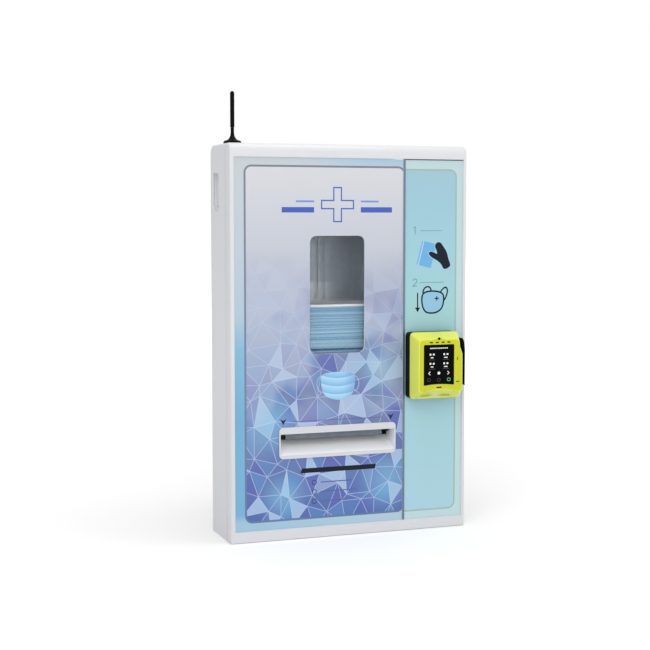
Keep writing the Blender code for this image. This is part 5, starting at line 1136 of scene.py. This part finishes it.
# %% Finish of the wrapped masks
def wrapped(name, light, deep):
    """Cloth under film, between a light and a deep tone."""
    finish, tree, shader = new_finish(name, light, 0.6, IOR=1.49, Coat_Weight=0.5, Coat_Roughness=0.18)
    place = add_node(tree, "TexCoord")["Object"]
    grain(tree, shader, place, size_mm=5.0, height_mm=0.15, strength=0.4, stretch=(0.35, 1, 1))
    own = add_node(tree, "Attribute", attribute_name="tone")["Fac"]
    colour = add_node(tree, "Mix", {0: own, 6: light, 7: deep}, data_type='RGBA')[2]
    bonds = add_node(tree, "TexVoronoi", {"Vector": place, "Scale": 1000 / 1.1})["Distance"]
    colour = tinted(tree, colour, bonds, 0.5, 0.1, deep, 0.12)
    tree.links.new(colour, shader.inputs["Base Color"])
    return finish


packet_finishes = [wrapped("wrapped_mask_blue", "#b6daec", "#5c9cc8"),
                   wrapped("wrapped_mask_deep_blue", "#1f5d97", "#1a4f84")]
packets = place_piece("mask_packets", stack, packet_finishes, "cabinet", 40.0)
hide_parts("mask_stack")
print("stack", len(packets.data.polygons), "faces")

# %% [markdown]
# A product shot: a plain white floor under a pale world. The rays that show the
# background see both as pure white, through the floor's glow and the world's own
# strength, while the floor still takes the soft shadow at the foot of the cabinet.

# %% Floor
PALE_WORLD = 0.58
GLOW_AT_FOOT = 0.15


def seen_rays(tree):
    """1 for the rays that show the background: straight, mirrored and through glass."""
    path = add_node(tree, "LightPath")
    seen = path["Is Camera Ray"]
    for kind in ("Is Glossy Ray", "Is Transmission Ray"):
        seen = add_node(tree, "Math", {0: seen, 1: path[kind]}, operation='MAXIMUM')["Value"]
    return seen


floor_shape = bmesh.new()
bmesh.ops.create_grid(floor_shape, x_segments=1, y_segments=1, size=14)
floor_mesh = bpy.data.meshes.new("floor")
floor_shape.to_mesh(floor_mesh)
floor_shape.free()
floor = bpy.data.objects.new("floor", floor_mesh)
bpy.context.scene.collection.objects.link(floor)
floor_white, tree, shader = new_finish("studio_floor_white", "#f4f4f4", 0.9, Emission_Color="#ffffff")
place = add_node(tree, "TexCoord")["Object"]
away = add_node(tree, "VectorMath", {0: place}, operation='LENGTH')["Value"]
glow = add_node(tree, "MapRange", {"Value": away, "From Min": 0.3, "From Max": 2.6,
                                   "To Min": GLOW_AT_FOOT, "To Max": PALE_WORLD})["Result"]
glow = add_node(tree, "Math", {0: seen_rays(tree), 1: glow}, operation='MULTIPLY')["Value"]
tree.links.new(glow, shader.inputs["Emission Strength"])
floor_mesh.materials.append(floor_white)
print("floor", floor.dimensions[:])

# %% [markdown]
# Four soft lamps: a big window of light on the left and above, a smaller one straight
# over the cabinet, and a weak one in front and one on the right that open the shadows.

# %% Lights and world
def soft_light(name, place, aim, size, power):
    """A rectangle of light that looks at a place."""
    data = bpy.data.lights.new(name, 'AREA')
    data.shape = 'RECTANGLE'
    data.size, data.size_y = size
    data.energy = power
    lamp = bpy.data.objects.new(name, data)
    lamp.location = place
    lamp.rotation_euler = (Vector(aim) - Vector(place)).to_track_quat('-Z', 'Y').to_euler()
    bpy.context.scene.collection.objects.link(lamp)


soft_light("key_left_above", (-1.5, -2.3, 2.7), (0, 0, 0.4), (1.8, 1.8), 27)
soft_light("top", (0.1, -0.35, 2.3), (0, 0, 0.6), (1.4, 0.9), 12)
soft_light("fill_front", (-0.6, -3.2, 0.6), (0, 0, 0.35), (1.4, 1.0), 12)
soft_light("fill_right", (2.6, -1.8, 1.2), (0, 0, 0.35), (1.6, 1.6), 10)

world = bpy.data.worlds.new("studio")
bpy.context.scene.world = world
world.use_nodes = True
tree = world.node_tree
tree.nodes.clear()
lighting, backdrop = [add_node(tree, "Background", {"Color": "#ffffff", "Strength": strength})["Background"]
                      for strength in (PALE_WORLD, 1.0)]
either = add_node(tree, "MixShader", {0: seen_rays(tree), 1: lighting, 2: backdrop})["Shader"]
add_node(tree, "OutputWorld", {"Surface": either})
bpy.context.scene.view_settings.view_transform = 'Standard'
print("lights placed")
